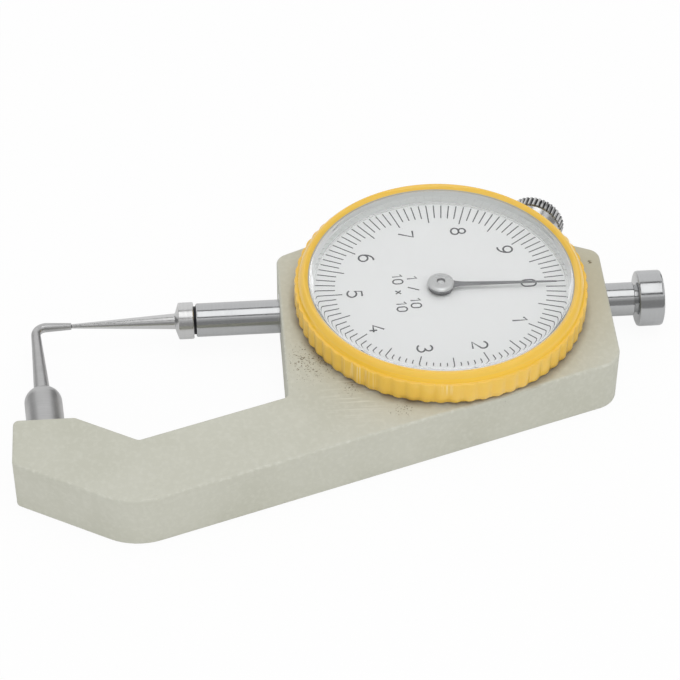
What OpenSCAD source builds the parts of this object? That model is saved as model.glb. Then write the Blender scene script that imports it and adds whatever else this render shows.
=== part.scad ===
// Dial caliper for thin dental work. A cast frame carries a bent fixed anvil on its
// finger and a sliding spindle with a needle contact. A rack on the spindle turns a
// pinion once in the full stroke, and the pinion's arbor carries the pointer.
// Millimetres. The origin is on the frame's flat back, under the dial axis.
// +X runs along the spindle towards its pull cap, and +Z comes up out of the dial.

/* [Frame] */
// Thickness of the cast frame
frame_t = 10.7; // [9.5:0.1:13]
// Distance of the left wall from the dial axis
left_wall = 28.2; // [26.5:0.1:32]
// Distance of the right wall from the dial axis
right_wall = 29.8; // [28:0.1:33]
// Distance of the throat corner in front of the dial axis
throat_y = 21.4; // [19:0.1:24]
// Slope of the arm that reaches forward and left
arm_angle = 18; // [14:0.5:22]
// Width of the arm
arm_w = 13.75; // [12:0.05:16]
// Slope of the finger that turns back to the anvil
finger_angle = 29.3; // [24:0.1:34]
// Width of the finger
finger_w = 13.7; // [12:0.05:16]
// Distance of the finger's end from the dial axis
finger_end = 74.6; // [70:0.1:82]
// Length of the finger's flat edge under the anvil
finger_flat = 10.4; // [9:0.1:12]
// Distance of that flat edge in front of the dial axis
finger_edge = 23.7; // [21:0.1:26]
// Slope of the two back shoulders
shoulder_angle = 24; // [18:0.5:30]
// Metal left behind the dial boss at the back edge
back_margin = 0.8; // [0.4:0.1:3]
// Metal left outside the dial boss at the left shoulder
left_margin = 2.1; // [1:0.1:4]
// Metal left outside the dial boss at the right shoulder
right_margin = 0.5; // [0.3:0.1:3]
// Radius on the outside of the knee
knee_r = 11; // [6:0.5:14]
// Radius on the front right corner
front_corner_r = 4.5; // [2:0.1:6]
// Radius on the two back shoulders' corners
shoulder_r = 2.5; // [1:0.1:4]
// Small radius on the finger's corners and the throat
small_r = 1; // [0.5:0.1:1.5]

/* [Spindle] */
// Diameter of the spindle
spindle_d = 6; // [5.5:0.1:6.5]
// Full stroke
stroke = 10; // [9:0.5:11]
// Rod left outside the left wall at the end of the stroke
rod_spare = 4.9; // [3.5:0.1:7]
// Rod between the right wall and the pull cap
cap_gap = 6; // [4:0.1:9]
// Diameter of the pull cap
cap_d = 10; // [8:0.1:10.4]
// Length of the pull cap
cap_l = 4.6; // [4:0.1:7]
// Depth of the flat that the rack is cut in
rack_flat = 0.55; // [0.4:0.05:0.8]
// Diameter of the contact's collar
collar_d = 6.55; // [6:0.05:8]
// Length of the collar's straight part
collar_l = 2.6; // [1.5:0.1:4]
// Length of the collar's conical front
collar_cone_l = 0.7; // [0.5:0.1:2]
// Diameter of the contact needle at its root
needle_root_d = 2.8; // [2.2:0.1:3.4]
// Diameter of the contact needle at its end
needle_tip_d = 0.8; // [0.6:0.05:1]
// Length of the guide bush in each wall
bush_l = 7.6; // [6:0.1:8]
// Wall of the guide bushes
bush_wall = 1; // [0.8:0.05:1.3]

/* [Anvil] */
// Distance of the anvil's axis from the finger's end
anvil_in = 5.4; // [5:0.1:5.8]
// Diameter of the anvil's base
anvil_base_d = 6.5; // [5.5:0.1:8]
// Height of the base's straight part on the finger
anvil_base_h = 8.9; // [7:0.1:11]
// Height of the base's domed shoulder
anvil_dome_h = 2.2; // [1.6:0.1:3]
// Diameter of the anvil's shank above the dome
anvil_shank_d = 2.86; // [2.3:0.02:3.2]
// Diameter of the anvil at its bend
anvil_bend_d = 1.66; // [1.2:0.02:1.8]
// Diameter of the anvil at its contact end
anvil_tip_d = 1.2; // [0.8:0.02:1.4]
// Radius of the bend, at the middle of the wire
anvil_bend_r = 1.8; // [1.4:0.1:2.6]
// Length of the leg from the bend to the contact end
anvil_leg = 4.45; // [3:0.05:6]
// Lean of the anvil, away from the spindle
anvil_lean = 5; // [0:0.1:7]
// Diameter of the anvil's stub in the finger
stub_d = 3; // [2.4:0.1:3.6]
// Length of that stub
stub_l = 8; // [6.5:0.1:9]

/* [Movement] */
// Teeth of the pinion
pinion_teeth = 16; // [14:1:18]
// Pitch of the rack
rack_pitch = 0.625; // [0.6:0.005:0.65]
// Face width of the pinion
pinion_w = 3.6; // [2.5:0.1:4]
// Diameter of the arbor
arbor_d = 1.2; // [1:0.05:1.4]
// Diameter of the arbor's lower pivot
pivot_d = 0.7; // [0.5:0.05:0.85]
// Thickness of the movement plate
plate_t = 1; // [0.8:0.05:1.2]
// Diameter of the plate screws
plate_screw_d = 1.6; // [1.4:0.1:2]
// Diameter of the guide pin
guide_pin_d = 1.5; // [1.2:0.05:1.7]
// Outer diameter of the return spring
spring_d = 2.6; // [2.2:0.1:3]
// Wire of the return spring
spring_wire = 0.35; // [0.25:0.05:0.4]
// Turns of the return spring
spring_turns = 9; // [6:1:11]
// Turns of the hairspring
hair_turns = 5; // [4:1:6]
// Space between the hairspring's turns, centre to centre
hair_pitch = 0.68; // [0.55:0.01:0.75]
// Thickness of the hairspring's strip
hair_t = 0.12; // [0.08:0.01:0.16]

/* [Dial] */
// Diameter over the bezel
bezel_d = 51.4; // [50:0.1:53]
// Width of the bezel's rim round the crystal
lip_w = 2.27; // [2:0.01:2.6]
// Number of flutes round the bezel
flutes = 64; // [48:2:72]
// Depth of the flutes
flute_depth = 0.4; // [0.2:0.05:0.6]
// Space under the bezel
bezel_gap = 0.4; // [0.2:0.05:0.8]
// Height of the frame's boss that the bezel turns on
boss_h = 1.6; // [1.5:0.1:2.4]
// Width of the bezel's ledge under the dial
ledge_w = 1.6; // [1.4:0.1:2.1]
// Thickness of the dial
dial_t = 0.5; // [0.4:0.05:0.8]
// Height of the pointer's hub
hub_h = 1.6; // [1.5:0.05:2.2]
// Diameter of the pointer's hub
hub_d = 4.7; // [4:0.1:5.5]
// Reach of the pointer from the dial axis
pointer_l = 20.4; // [17:0.1:21]
// Angle of the pointer when the jaws are closed
pointer_angle = -1.7; // [-10:0.1:10]
// Room between the hub and the crystal
hub_room = 0.45; // [0.4:0.05:1.5]
// Thickness of the crystal
crystal_t = 1.5; // [1.2:0.1:2]
// Radius of the crystal's shoulder
crystal_round = 1.8; // [1.5:0.1:2.1]

/* [Lock screw] */
// Diameter of the lock screw's thread
lock_d = 3; // [2.5:0.1:3.5]
// Diameter of its knurled head
knob_d = 10.6; // [8:0.1:10.6]
// Length of the knurl
knurl_l = 2.6; // [2:0.1:4]
// Height of the head above the shoulder
knob_h = 10.7; // [8:0.1:12]
// Diameter of the collar under the head
knob_collar_d = 5.6; // [4.5:0.1:6.5]
// Teeth of the knurl
knurl_teeth = 40; // [30:2:48]
// Gap that the lock closes before it grips
lock_gap = 0.3; // [0.2:0.05:0.5]

/* [Fits] */
// Radial clearance of a running fit
run_gap = 0.03; // [0.02:0.01:0.06]
// Radial clearance of a fixed fit
fixed_gap = 0.02; // [0.01:0.01:0.03]
// Clearance round the spindle where nothing guides it
free_gap = 0.3; // [0.2:0.05:0.35]
// Gap between the closed contact ends
closed_gap = 0.03; // [0.02:0.01:0.1]

/* [Hidden] */
$fn = 96;
// Steps of a drawn arc
arc_step = 7.5;
// Overshoot of a cut past the face that it leaves
over = 1;

// Rack and pinion
pressure_angle = 20;
gear_module = rack_pitch / PI;
pitch_r = pinion_teeth * rack_pitch / (2 * PI);
gear_dedendum = 1.25 * gear_module;
gear_backlash = 0.03;
tooth_w = rack_pitch / 2 - gear_backlash;

// Spindle line
spindle_r = spindle_d / 2;
spindle_y = pitch_r - gear_module + spindle_r - rack_flat;
spindle_z = frame_t / 2;
spindle_x0 = -(left_wall + stroke + rod_spare);
cap_x = right_wall + cap_gap;
cap_neck_l = 0.5;
cap_stud_d = 3;
cap_stud_l = 3;
contact_neck_l = 0.4;
contact_stud_d = 2.5;
contact_stud_l = 5;
neck_d = spindle_d - 1;
end_chamfer = 0.3;
cap_chamfer = 0.5;
rack_over = 2;

// Levels, from the back up
floor_gap = 0.55;
floor_z = spindle_z - spindle_r - floor_gap;
ledge_gap = 0.85;
ledge_z = spindle_z + spindle_r + ledge_gap;
plate_top = ledge_z + plate_t;
boss_top = max(frame_t, plate_top) + boss_h;
dial_gap = 0.3;
dial_z = boss_top + dial_gap;
dial_top = dial_z + dial_t;
hub_gap = 0.2;
hub_z = dial_top + hub_gap;
hub_top = hub_z + hub_h;
crystal_under = hub_top + hub_room;
crystal_top = crystal_under + crystal_t;
lip_proud = 0.35;
bezel_z = frame_t + bezel_gap;
bezel_top = crystal_top + lip_proud;

// Rings, from the outside in
bezel_r = bezel_d / 2;
glass_r = bezel_r - lip_w;
boss_r = glass_r - ledge_w;
recess_wall = 3.2;
recess_r = boss_r - recess_wall;
groove_depth = 0.5;
snap_w = 0.9;
snap_h = 0.5;
snap_lift = 0.4;
snap_z = bezel_z + snap_lift;
snap_opening = 20;
snap_room = 0.15;
axial_gap = 0.05;

// Movement pocket, around the spring and the rack; places along X are shares of the stroke
post_share = 1.2;
pin_share = 0.35;
guide_share = 0.95;
spring_room = 0.8;
spring_y = spindle_y + spindle_r + spring_room + spring_d / 2;
post_d = 1.2;
post_x = -post_share * stroke;
spring_pin_d = 1;
spring_pin_x = -pin_share * stroke;
pocket_end = 1.5;
pocket_x0 = post_x - pocket_end;
pocket_x1 = spring_pin_x + stroke + pocket_end;
pocket_y0 = -4;
pocket_y1 = spring_y + spring_d / 2 + spring_room;
pocket_r = 2;
guide_x = -guide_share * stroke;
guide_top_gap = 0.2;
slot_end_gap = 0.3;
bore_r = spindle_r + free_gap;
bush_r = spindle_r + run_gap + bush_wall;

// Arbor
lower_bush_d = 3.2;
lower_bush_h = 1.8;
lower_bush_sink = 1;
pivot_depth = 1.3;
upper_bush_d = 3;
upper_flange_d = 4.2;
upper_flange_t = 0.5;
upper_proud = 0.2;
end_shake = 0.2;
arbor_sink = 0.3;
arbor_top = hub_top - arbor_sink;
collet_d = 3;
collet_h = 0.9;
collet_gap = 0.1;
collet_z = plate_top + upper_proud + collet_gap;
hair_h = 0.5;
hair_z = collet_z + (collet_h - hair_h) / 2;
hair_r0 = collet_d / 2 + hair_t / 2 + fixed_gap;
hair_steps = 20;
stud_d = 1;
stud_r = hair_r0 + hair_turns * hair_pitch + hair_t / 2 + stud_d / 2 + fixed_gap;
stud_angle = 250;
plate_screw_in = 2.6;
plate_screw_r = recess_r - plate_screw_in;
plate_screw_angles = [-70, 70, 200];
plate_screw_l = 2.6;
plate_head_d = 3;
plate_head_h = 0.9;
plate_slot_w = 0.4;

// Frame outline, in plan
arm_slope = tan(arm_angle);
finger_slope = tan(finger_angle);
flat_x = finger_flat - finger_end;
// A line is [slope, height at x = 0]
arm_inner = [arm_slope, left_wall * arm_slope - throat_y];
arm_outer = [arm_slope, arm_inner[1] - arm_w / cos(arm_angle)];
finger_inner = [-finger_slope, flat_x * finger_slope - finger_edge];
finger_outer = [-finger_slope, finger_inner[1] - finger_w / cos(finger_angle)];
shoulder_slope = tan(shoulder_angle);
back_edge = boss_r + back_margin;
left_shoulder = [shoulder_slope, (boss_r + left_margin) / cos(shoulder_angle)];
right_shoulder = [-shoulder_slope, (boss_r + right_margin) / cos(shoulder_angle)];

function at_x(l, x) = [x, l[0] * x + l[1]];
function at_y(l, y) = [(y - l[1]) / l[0], y];
function meet(l, m) = at_x(l, (m[1] - l[1]) / (l[0] - m[0]));
function unit(v) = v / norm(v);
function polar(r, a) = r * [cos(a), sin(a)];

// Each corner is [point, radius]
outline = [
    [[-finger_end, -finger_edge], small_r],
    [at_x(finger_outer, -finger_end), small_r],
    [meet(finger_outer, arm_outer), knee_r],
    [at_x(arm_outer, right_wall), front_corner_r],
    [at_x(right_shoulder, right_wall), shoulder_r],
    [at_y(right_shoulder, back_edge), shoulder_r],
    [at_y(left_shoulder, back_edge), shoulder_r],
    [at_x(left_shoulder, -left_wall), shoulder_r],
    [[-left_wall, -throat_y], small_r],
    [meet(arm_inner, finger_inner), small_r],
    [[flat_x, -finger_edge], small_r]
];

// Points of one rounded corner p between its neighbours a and b
function corner(p, a, b, r) =
    let (u = unit(a - p), w = unit(b - p), half = acos(u * w) / 2)
    let (c = p + unit(u + w) * r / sin(half))
    let (s = p + u * r / tan(half) - c, e = p + w * r / tan(half) - c)
    let (a0 = atan2(s[1], s[0]), turn = (atan2(e[1], e[0]) - a0 + 540) % 360 - 180)
    let (n = max(2, ceil(abs(turn) / arc_step)))
    [for (i = [0:n]) c + polar(r, a0 + turn * i / n)];

function rounded(cs) =
    let (n = len(cs))
    [for (i = [0:n - 1])
        each corner(cs[i][0], cs[(i + n - 1) % n][0], cs[(i + 1) % n][0], cs[i][1])];

// Anvil, in plan: its axis leaves the finger's flat edge and leans
anvil_x = anvil_in - finger_end;
bend_y = spindle_y - anvil_bend_r;
bend_x = anvil_x
    + (anvil_bend_r - (bend_y + finger_edge) * sin(anvil_lean)) / cos(anvil_lean);
anvil_shank_l = (bend_y + finger_edge) * cos(anvil_lean) - (bend_x - anvil_x) * sin(anvil_lean);
contact_x = bend_x + anvil_leg;
set_screw_d = 2.5;
set_screw_sink = 0.4;
set_screw_socket = 1.3;
set_screw_socket_l = 1.2;
set_screw_depth = stub_l / 2;

// Lock screw: its axis is square to the right shoulder and meets the spindle
lock_wall = 2.8;
lock_x = pocket_x1 + lock_wall;
lock_face = boss_r + right_margin
    - lock_x * sin(shoulder_angle) - spindle_y * cos(shoulder_angle);
lock_collar_gap = 0.5;
pad_l = 3;
pad_gap = 0.1;
pad_top = spindle_r + lock_gap + pad_l;
knob_cone_l = 1.8;
knob_cone_in = 0.75;
knurl_depth = 0.45;
knob_edge = 0.4;

// A cylinder along +X from x0 to x1 on the spindle's axis
module along_spindle(x0, x1, r1, r2) {
    translate([x0, spindle_y, spindle_z])
        rotate([0, 90, 0])
            cylinder(h = x1 - x0, r1 = r1, r2 = is_undef(r2) ? r1 : r2);
}

// Children drawn along +Z, placed on the lock screw's axis from the spindle outwards
module on_lock_axis() {
    translate([lock_x, spindle_y, spindle_z])
        rotate([0, 0, -shoulder_angle])
            rotate([-90, 0, 0])
                children();
}

// Children drawn along +Z, placed on the anvil's axis from the finger's edge outwards
module on_anvil_axis() {
    translate([anvil_x, -finger_edge, spindle_z])
        rotate([0, 0, anvil_lean])
            rotate([-90, 0, 0])
                children();
}

module at_plate_screws() {
    for (a = plate_screw_angles)
        translate(concat(polar(plate_screw_r, a), 0))
            children();
}

// A ring of square section
module ring(r0, r1, z0, z1, turn = 360) {
    rotate_extrude(angle = turn)
        translate([r0, z0])
            square([r1 - r0, z1 - z0]);
}

module pocket_plan() {
    polygon(rounded([
        [[pocket_x0, pocket_y0], pocket_r], [[pocket_x1, pocket_y0], pocket_r],
        [[pocket_x1, pocket_y1], pocket_r], [[pocket_x0, pocket_y1], pocket_r]
    ]));
}

module frame() {
    color("#c4c5b7")
    difference() {
        union() {
            linear_extrude(frame_t) polygon(rounded(outline));
            translate([0, 0, frame_t]) cylinder(h = boss_top - frame_t, r = boss_r);
        }
        translate([0, 0, ledge_z]) cylinder(h = boss_top - ledge_z + over, r = recess_r);
        translate([0, 0, floor_z]) linear_extrude(ledge_z - floor_z + over) pocket_plan();
        ring(boss_r - groove_depth, boss_r + over, snap_z, snap_z + snap_h + 2 * axial_gap);
        along_spindle(-left_wall - over, right_wall + over, bore_r);
        along_spindle(-left_wall - over, bush_l - left_wall, bush_r + fixed_gap);
        along_spindle(right_wall - bush_l, right_wall + over, bush_r + fixed_gap);
        translate([0, 0, floor_z - lower_bush_sink])
            cylinder(h = lower_bush_sink + over, d = lower_bush_d + 2 * fixed_gap);
        translate([post_x, spring_y, floor_z - lower_bush_sink])
            cylinder(h = lower_bush_sink + over, d = post_d + 2 * fixed_gap);
        translate([0, 0, ledge_z - plate_screw_l - over]) at_plate_screws()
            cylinder(h = plate_screw_l + 2 * over, d = plate_screw_d + 2 * fixed_gap);
        on_lock_axis() cylinder(h = lock_face + over, d = lock_d + 2 * run_gap);
        on_anvil_axis() translate([0, 0, -stub_l - over])
            cylinder(h = stub_l + 2 * over, d = stub_d + 2 * fixed_gap);
        at_set_screw() translate([0, 0, -over])
            cylinder(h = spindle_z + over, d = set_screw_d + 2 * fixed_gap);
    }
}

module bush(x0, x1) {
    color("#b9babb")
    difference() {
        along_spindle(x0, x1, bush_r);
        along_spindle(x0 - over, x1 + over, spindle_r + run_gap);
    }
}

module left_bush() {
    bush(-left_wall, bush_l - left_wall);
}

module right_bush() {
    bush(right_wall - bush_l, right_wall);
}

// Where the set screw meets the middle of the anvil's stub
module at_set_screw() {
    translate([
        anvil_x + set_screw_depth * sin(anvil_lean),
        -finger_edge - set_screw_depth * cos(anvil_lean), 0
    ])
        children();
}

module anvil() {
    base_r = anvil_base_d / 2;
    shank_r = anvil_shank_d / 2;
    bend_wire_r = anvil_bend_d / 2;
    bend_swell = 0.03;
    dome = [for (a = [0:arc_step:90])
        [shank_r + (base_r - shank_r) * cos(a), anvil_base_h + anvil_dome_h * sin(a)]];
    color("#b4b4b2") {
        difference() {
            on_anvil_axis() rotate_extrude() polygon(concat(
                [[0, -base_r]], [[base_r, -base_r]], dome,
                [[bend_wire_r, anvil_shank_l], [0, anvil_shank_l]]
            ));
            translate([anvil_x - base_r - over, -finger_edge - 2 * base_r, spindle_z - base_r - over])
                cube([2 * (base_r + over), 2 * base_r, 2 * (base_r + over)]);
        }
        on_anvil_axis() {
            translate([0, 0, -stub_l]) cylinder(h = stub_l + over, d = stub_d);
            translate([0, 0, anvil_shank_l]) sphere(r = bend_wire_r + bend_swell);
        }
        translate([bend_x, bend_y, spindle_z])
            rotate([0, 0, 90])
                rotate_extrude(angle = 90 + anvil_lean)
                    translate([anvil_bend_r, 0]) circle(r = bend_wire_r);
        along_spindle(bend_x, contact_x, bend_wire_r, anvil_tip_d / 2);
    }
}

module anvil_set_screw() {
    color("#3a3a3c")
    at_set_screw()
        difference() {
            translate([0, 0, set_screw_sink])
                cylinder(h = spindle_z - stub_d / 2 - fixed_gap - set_screw_sink, d = set_screw_d);
            cylinder(h = set_screw_sink + set_screw_socket_l, d = set_screw_socket, $fn = 6);
        }
}

// What is milled off the spindle to leave the rack's teeth
module rack_cut() {
    tip_y = pitch_r - gear_module;
    root_y = pitch_r + gear_dedendum;
    slope = tan(pressure_angle);
    tip_space = (rack_pitch - tooth_w) / 2 + gear_module * slope;
    root_space = (rack_pitch - tooth_w) / 2 - gear_dedendum * slope;
    first = -ceil((stroke + rack_over) / rack_pitch);
    last = ceil(rack_over / rack_pitch);
    low_y = spindle_y - spindle_r - over;
    translate([0, 0, spindle_z - spindle_r - over])
        linear_extrude(2 * (spindle_r + over))
            polygon(concat(
                [[(first - 1) * rack_pitch, low_y], [(first - 1) * rack_pitch, tip_y]],
                [for (i = [first:last]) each [
                    [i * rack_pitch - tip_space, tip_y], [i * rack_pitch - root_space, root_y],
                    [i * rack_pitch + root_space, root_y], [i * rack_pitch + tip_space, tip_y]
                ]],
                [[(last + 1) * rack_pitch, tip_y], [(last + 1) * rack_pitch, low_y]]
            ));
}

module spindle() {
    rod_x1 = cap_x - cap_neck_l;
    color("#c2c3c4")
    difference() {
        union() {
            along_spindle(spindle_x0, spindle_x0 + end_chamfer, spindle_r - end_chamfer, spindle_r);
            along_spindle(spindle_x0 + end_chamfer, rod_x1, spindle_r);
            along_spindle(rod_x1, cap_x, neck_d / 2);
            along_spindle(cap_x, cap_x + cap_stud_l, cap_stud_d / 2);
        }
        rack_cut();
        along_spindle(spindle_x0 - over, spindle_x0 + contact_stud_l + fixed_gap,
            contact_stud_d / 2 + fixed_gap);
        translate([guide_x, spindle_y, spindle_z])
            cylinder(h = spindle_r + over, d = guide_pin_d + 2 * fixed_gap);
        translate([spring_pin_x, spindle_y, spindle_z]) rotate([-90, 0, 0])
            cylinder(h = spindle_r + over, d = spring_pin_d + 2 * fixed_gap);
    }
}

module contact_point() {
    collar_x1 = spindle_x0 - contact_neck_l;
    collar_x0 = collar_x1 - collar_l;
    cone_x0 = collar_x0 - collar_cone_l;
    color("#b2b3b3") {
        along_spindle(contact_x + closed_gap, cone_x0, needle_tip_d / 2, needle_root_d / 2);
        along_spindle(cone_x0, collar_x0, needle_root_d / 2, collar_d / 2);
        along_spindle(collar_x0, collar_x1, collar_d / 2);
        along_spindle(collar_x1, spindle_x0, neck_d / 2);
        along_spindle(spindle_x0, spindle_x0 + contact_stud_l, contact_stud_d / 2);
    }
}

module pull_cap() {
    cap_r = cap_d / 2;
    color("#bfc0c1")
    difference() {
        union() {
            along_spindle(cap_x, cap_x + cap_chamfer, cap_r - cap_chamfer, cap_r);
            along_spindle(cap_x + cap_chamfer, cap_x + cap_l - cap_chamfer, cap_r);
            along_spindle(cap_x + cap_l - cap_chamfer, cap_x + cap_l, cap_r, cap_r - cap_chamfer);
        }
        along_spindle(cap_x - over, cap_x + cap_stud_l + fixed_gap, cap_stud_d / 2 + fixed_gap);
    }
}

module guide_pin() {
    color("#9a9b9c")
    translate([guide_x, spindle_y, spindle_z + fixed_gap])
        cylinder(h = plate_top - guide_top_gap - spindle_z - fixed_gap, d = guide_pin_d);
}

module spring_pin() {
    color("#9a9b9c")
    translate([spring_pin_x, spindle_y + fixed_gap, spindle_z]) rotate([-90, 0, 0])
        cylinder(h = spring_y + spring_d / 2 - spindle_y - fixed_gap, d = spring_pin_d);
}

module spring_post() {
    color("#9a9b9c")
    translate([post_x, spring_y, floor_z - lower_bush_sink])
        cylinder(h = spindle_z + spring_d / 2 - floor_z + lower_bush_sink, d = post_d);
}

// A round wire swept along the points of a path
module wire(path, r, sides = 6) {
    n = len(path);
    tangents = [for (i = [0:n - 1]) unit(path[min(i + 1, n - 1)] - path[max(i - 1, 0)])];
    aside = [0.3, 0.2, 1];
    normals = carried(tangents, 0, unit(cross(tangents[0], aside)));
    rings = [for (i = [0:n - 1]) each [for (s = [0:sides - 1])
        path[i] + r * (normals[i] * cos(360 * s / sides)
            + cross(tangents[i], normals[i]) * sin(360 * s / sides))]];
    sleeve = [for (i = [0:n - 2]) each [for (s = [0:sides - 1])
        let (a = i * sides + s, b = i * sides + (s + 1) % sides)
        each [[a, a + sides, b], [b, a + sides, b + sides]]]];
    caps = [for (s = [1:sides - 2])
        each [[0, s, s + 1], [(n - 1) * sides, (n - 1) * sides + s + 1, (n - 1) * sides + s]]];
    polyhedron(points = rings, faces = concat(sleeve, caps));
}

// Normals carried along a path without twisting
function carried(t, i, n) =
    i == len(t) ? [] :
    let (m = unit(n - (n * t[i]) * t[i])) concat([m], carried(t, i + 1, m));

module return_spring() {
    coil_r = (spring_d - spring_wire) / 2;
    hook_gap = 0.05;
    post_hook_r = (post_d + spring_wire) / 2 + hook_gap;
    pin_hook_r = (spring_pin_d + spring_wire) / 2 + hook_gap;
    coil_x0 = post_x + spring_d / 2;
    coil_x1 = spring_pin_x - spring_d / 2;
    turn_steps = 10;
    last = spring_turns * turn_steps + turn_steps / 4;
    post_hook = [for (a = [-100:-25:-300])
        [post_x + post_hook_r * cos(a), spring_y + post_hook_r * sin(a), spindle_z]];
    coil = [for (i = [0:last]) let (a = 360 * i / turn_steps) [
        coil_x0 + (coil_x1 - coil_x0) * i / last,
        spring_y + coil_r * cos(a), spindle_z + coil_r * sin(a)]];
    pin_hook = [for (a = [120:-25:-100])
        [spring_pin_x + pin_hook_r * cos(a), spring_y, spindle_z + pin_hook_r * sin(a)]];
    color("#8d8f92") wire(concat(post_hook, coil, pin_hook), spring_wire / 2);
}

module movement_plate() {
    slot_r = guide_pin_d / 2 + run_gap;
    slot_x0 = guide_x - slot_end_gap;
    slot_x1 = guide_x + stroke + slot_end_gap;
    color("#c3a965")
    difference() {
        translate([0, 0, ledge_z]) cylinder(h = plate_t, r = recess_r - fixed_gap);
        translate([0, 0, ledge_z - over]) linear_extrude(plate_t + 2 * over) {
            circle(d = upper_bush_d + 2 * fixed_gap);
            translate([slot_x0, spindle_y]) circle(r = slot_r);
            translate([slot_x1, spindle_y]) circle(r = slot_r);
            translate([slot_x0, spindle_y - slot_r]) square([slot_x1 - slot_x0, 2 * slot_r]);
            translate(polar(stud_r, stud_angle)) circle(d = stud_d + 2 * fixed_gap);
        }
        translate([0, 0, ledge_z - over]) at_plate_screws()
            cylinder(h = plate_t + 2 * over, d = plate_screw_d + 2 * fixed_gap);
    }
}

module plate_screws() {
    color("#a9aaab")
    at_plate_screws()
        difference() {
            union() {
                translate([0, 0, ledge_z - plate_screw_l])
                    cylinder(h = plate_screw_l + plate_t, d = plate_screw_d);
                translate([0, 0, plate_top]) cylinder(h = plate_head_h, d = plate_head_d);
            }
            translate([-plate_head_d, -plate_slot_w / 2, plate_top + plate_head_h / 2])
                cube([2 * plate_head_d, plate_slot_w, plate_head_h]);
        }
}

module lower_bush() {
    color("#b89a55")
    translate([0, 0, floor_z - lower_bush_sink + fixed_gap])
        difference() {
            cylinder(h = lower_bush_h, d = lower_bush_d);
            translate([0, 0, lower_bush_h - pivot_depth])
                cylinder(h = pivot_depth + over, d = pivot_d + 2 * run_gap);
        }
}

module upper_bush() {
    color("#b89a55")
    difference() {
        union() {
            translate([0, 0, ledge_z - upper_flange_t]) cylinder(h = upper_flange_t, d = upper_flange_d);
            translate([0, 0, ledge_z]) cylinder(h = plate_t + upper_proud, d = upper_bush_d);
        }
        translate([0, 0, ledge_z - upper_flange_t - over])
            cylinder(h = upper_flange_t + plate_t + upper_proud + 2 * over, d = arbor_d + 2 * run_gap);
    }
}

// Half the angle that a pinion tooth spans at radius r
function involute(a) = tan(a) * 180 / PI - a;
function tooth_half(r) =
    tooth_w / 2 / pitch_r * 180 / PI + involute(pressure_angle)
    - involute(acos(min(1, pitch_r * cos(pressure_angle) / r)));

module pinion_plan() {
    base_r = pitch_r * cos(pressure_angle);
    tip_r = pitch_r + gear_module;
    root_r = pitch_r - gear_dedendum;
    flank = [root_r, for (i = [0:3]) base_r + (tip_r - base_r) * i / 3];
    polygon([for (k = [0:pinion_teeth - 1]) let (mid = 90 + 360 * k / pinion_teeth) each concat(
        [for (r = flank) polar(r, mid - tooth_half(r))],
        [for (i = [len(flank) - 1:-1:0]) polar(flank[i], mid + tooth_half(flank[i]))]
    )]);
}

module pinion_arbor() {
    pivot_z = floor_z - lower_bush_sink + lower_bush_h - pivot_depth + end_shake;
    shoulder_z = floor_z - lower_bush_sink + lower_bush_h + end_shake;
    color("#a3a4a6") {
        translate([0, 0, pivot_z]) cylinder(h = shoulder_z - pivot_z, d = pivot_d);
        translate([0, 0, shoulder_z]) cylinder(h = arbor_top - shoulder_z, d = arbor_d);
        translate([0, 0, spindle_z - pinion_w / 2]) linear_extrude(pinion_w) pinion_plan();
    }
}

module hairspring_collet() {
    color("#b89a55")
    ring(arbor_d / 2 + fixed_gap, collet_d / 2, collet_z, collet_z + collet_h);
}

module hairspring() {
    last = hair_turns * hair_steps;
    spiral = [for (i = [0:last]) [
        hair_r0 + hair_turns * hair_pitch * i / last,
        stud_angle + 360 * (i - last) / hair_steps]];
    color("#6f7785")
    translate([0, 0, hair_z])
        linear_extrude(hair_h)
            polygon(concat(
                [for (p = spiral) polar(p[0] + hair_t / 2, p[1])],
                [for (i = [last:-1:0]) polar(spiral[i][0] - hair_t / 2, spiral[i][1])]
            ));
}

module hairspring_stud() {
    color("#9a9b9c")
    translate(concat(polar(stud_r, stud_angle), ledge_z))
        cylinder(h = hair_z + hair_h - ledge_z, d = stud_d);
}

module bezel_snap_ring() {
    inner_r = boss_r - groove_depth + fixed_gap;
    color("#8d8f92")
    rotate([0, 0, snap_opening / 2])
        ring(inner_r, inner_r + snap_w, snap_z + axial_gap, snap_z + axial_gap + snap_h, 360 - snap_opening);
}

// Lobes round the bezel's skirt, with narrow valleys between them
module fluted_plan() {
    steps = 6;
    polygon([for (i = [0:flutes * steps - 1])
        let (lobe = abs(cos(180 * i / steps)))
        polar(bezel_r - flute_depth * (1 - lobe), 360 * i / (flutes * steps))]);
}

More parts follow.
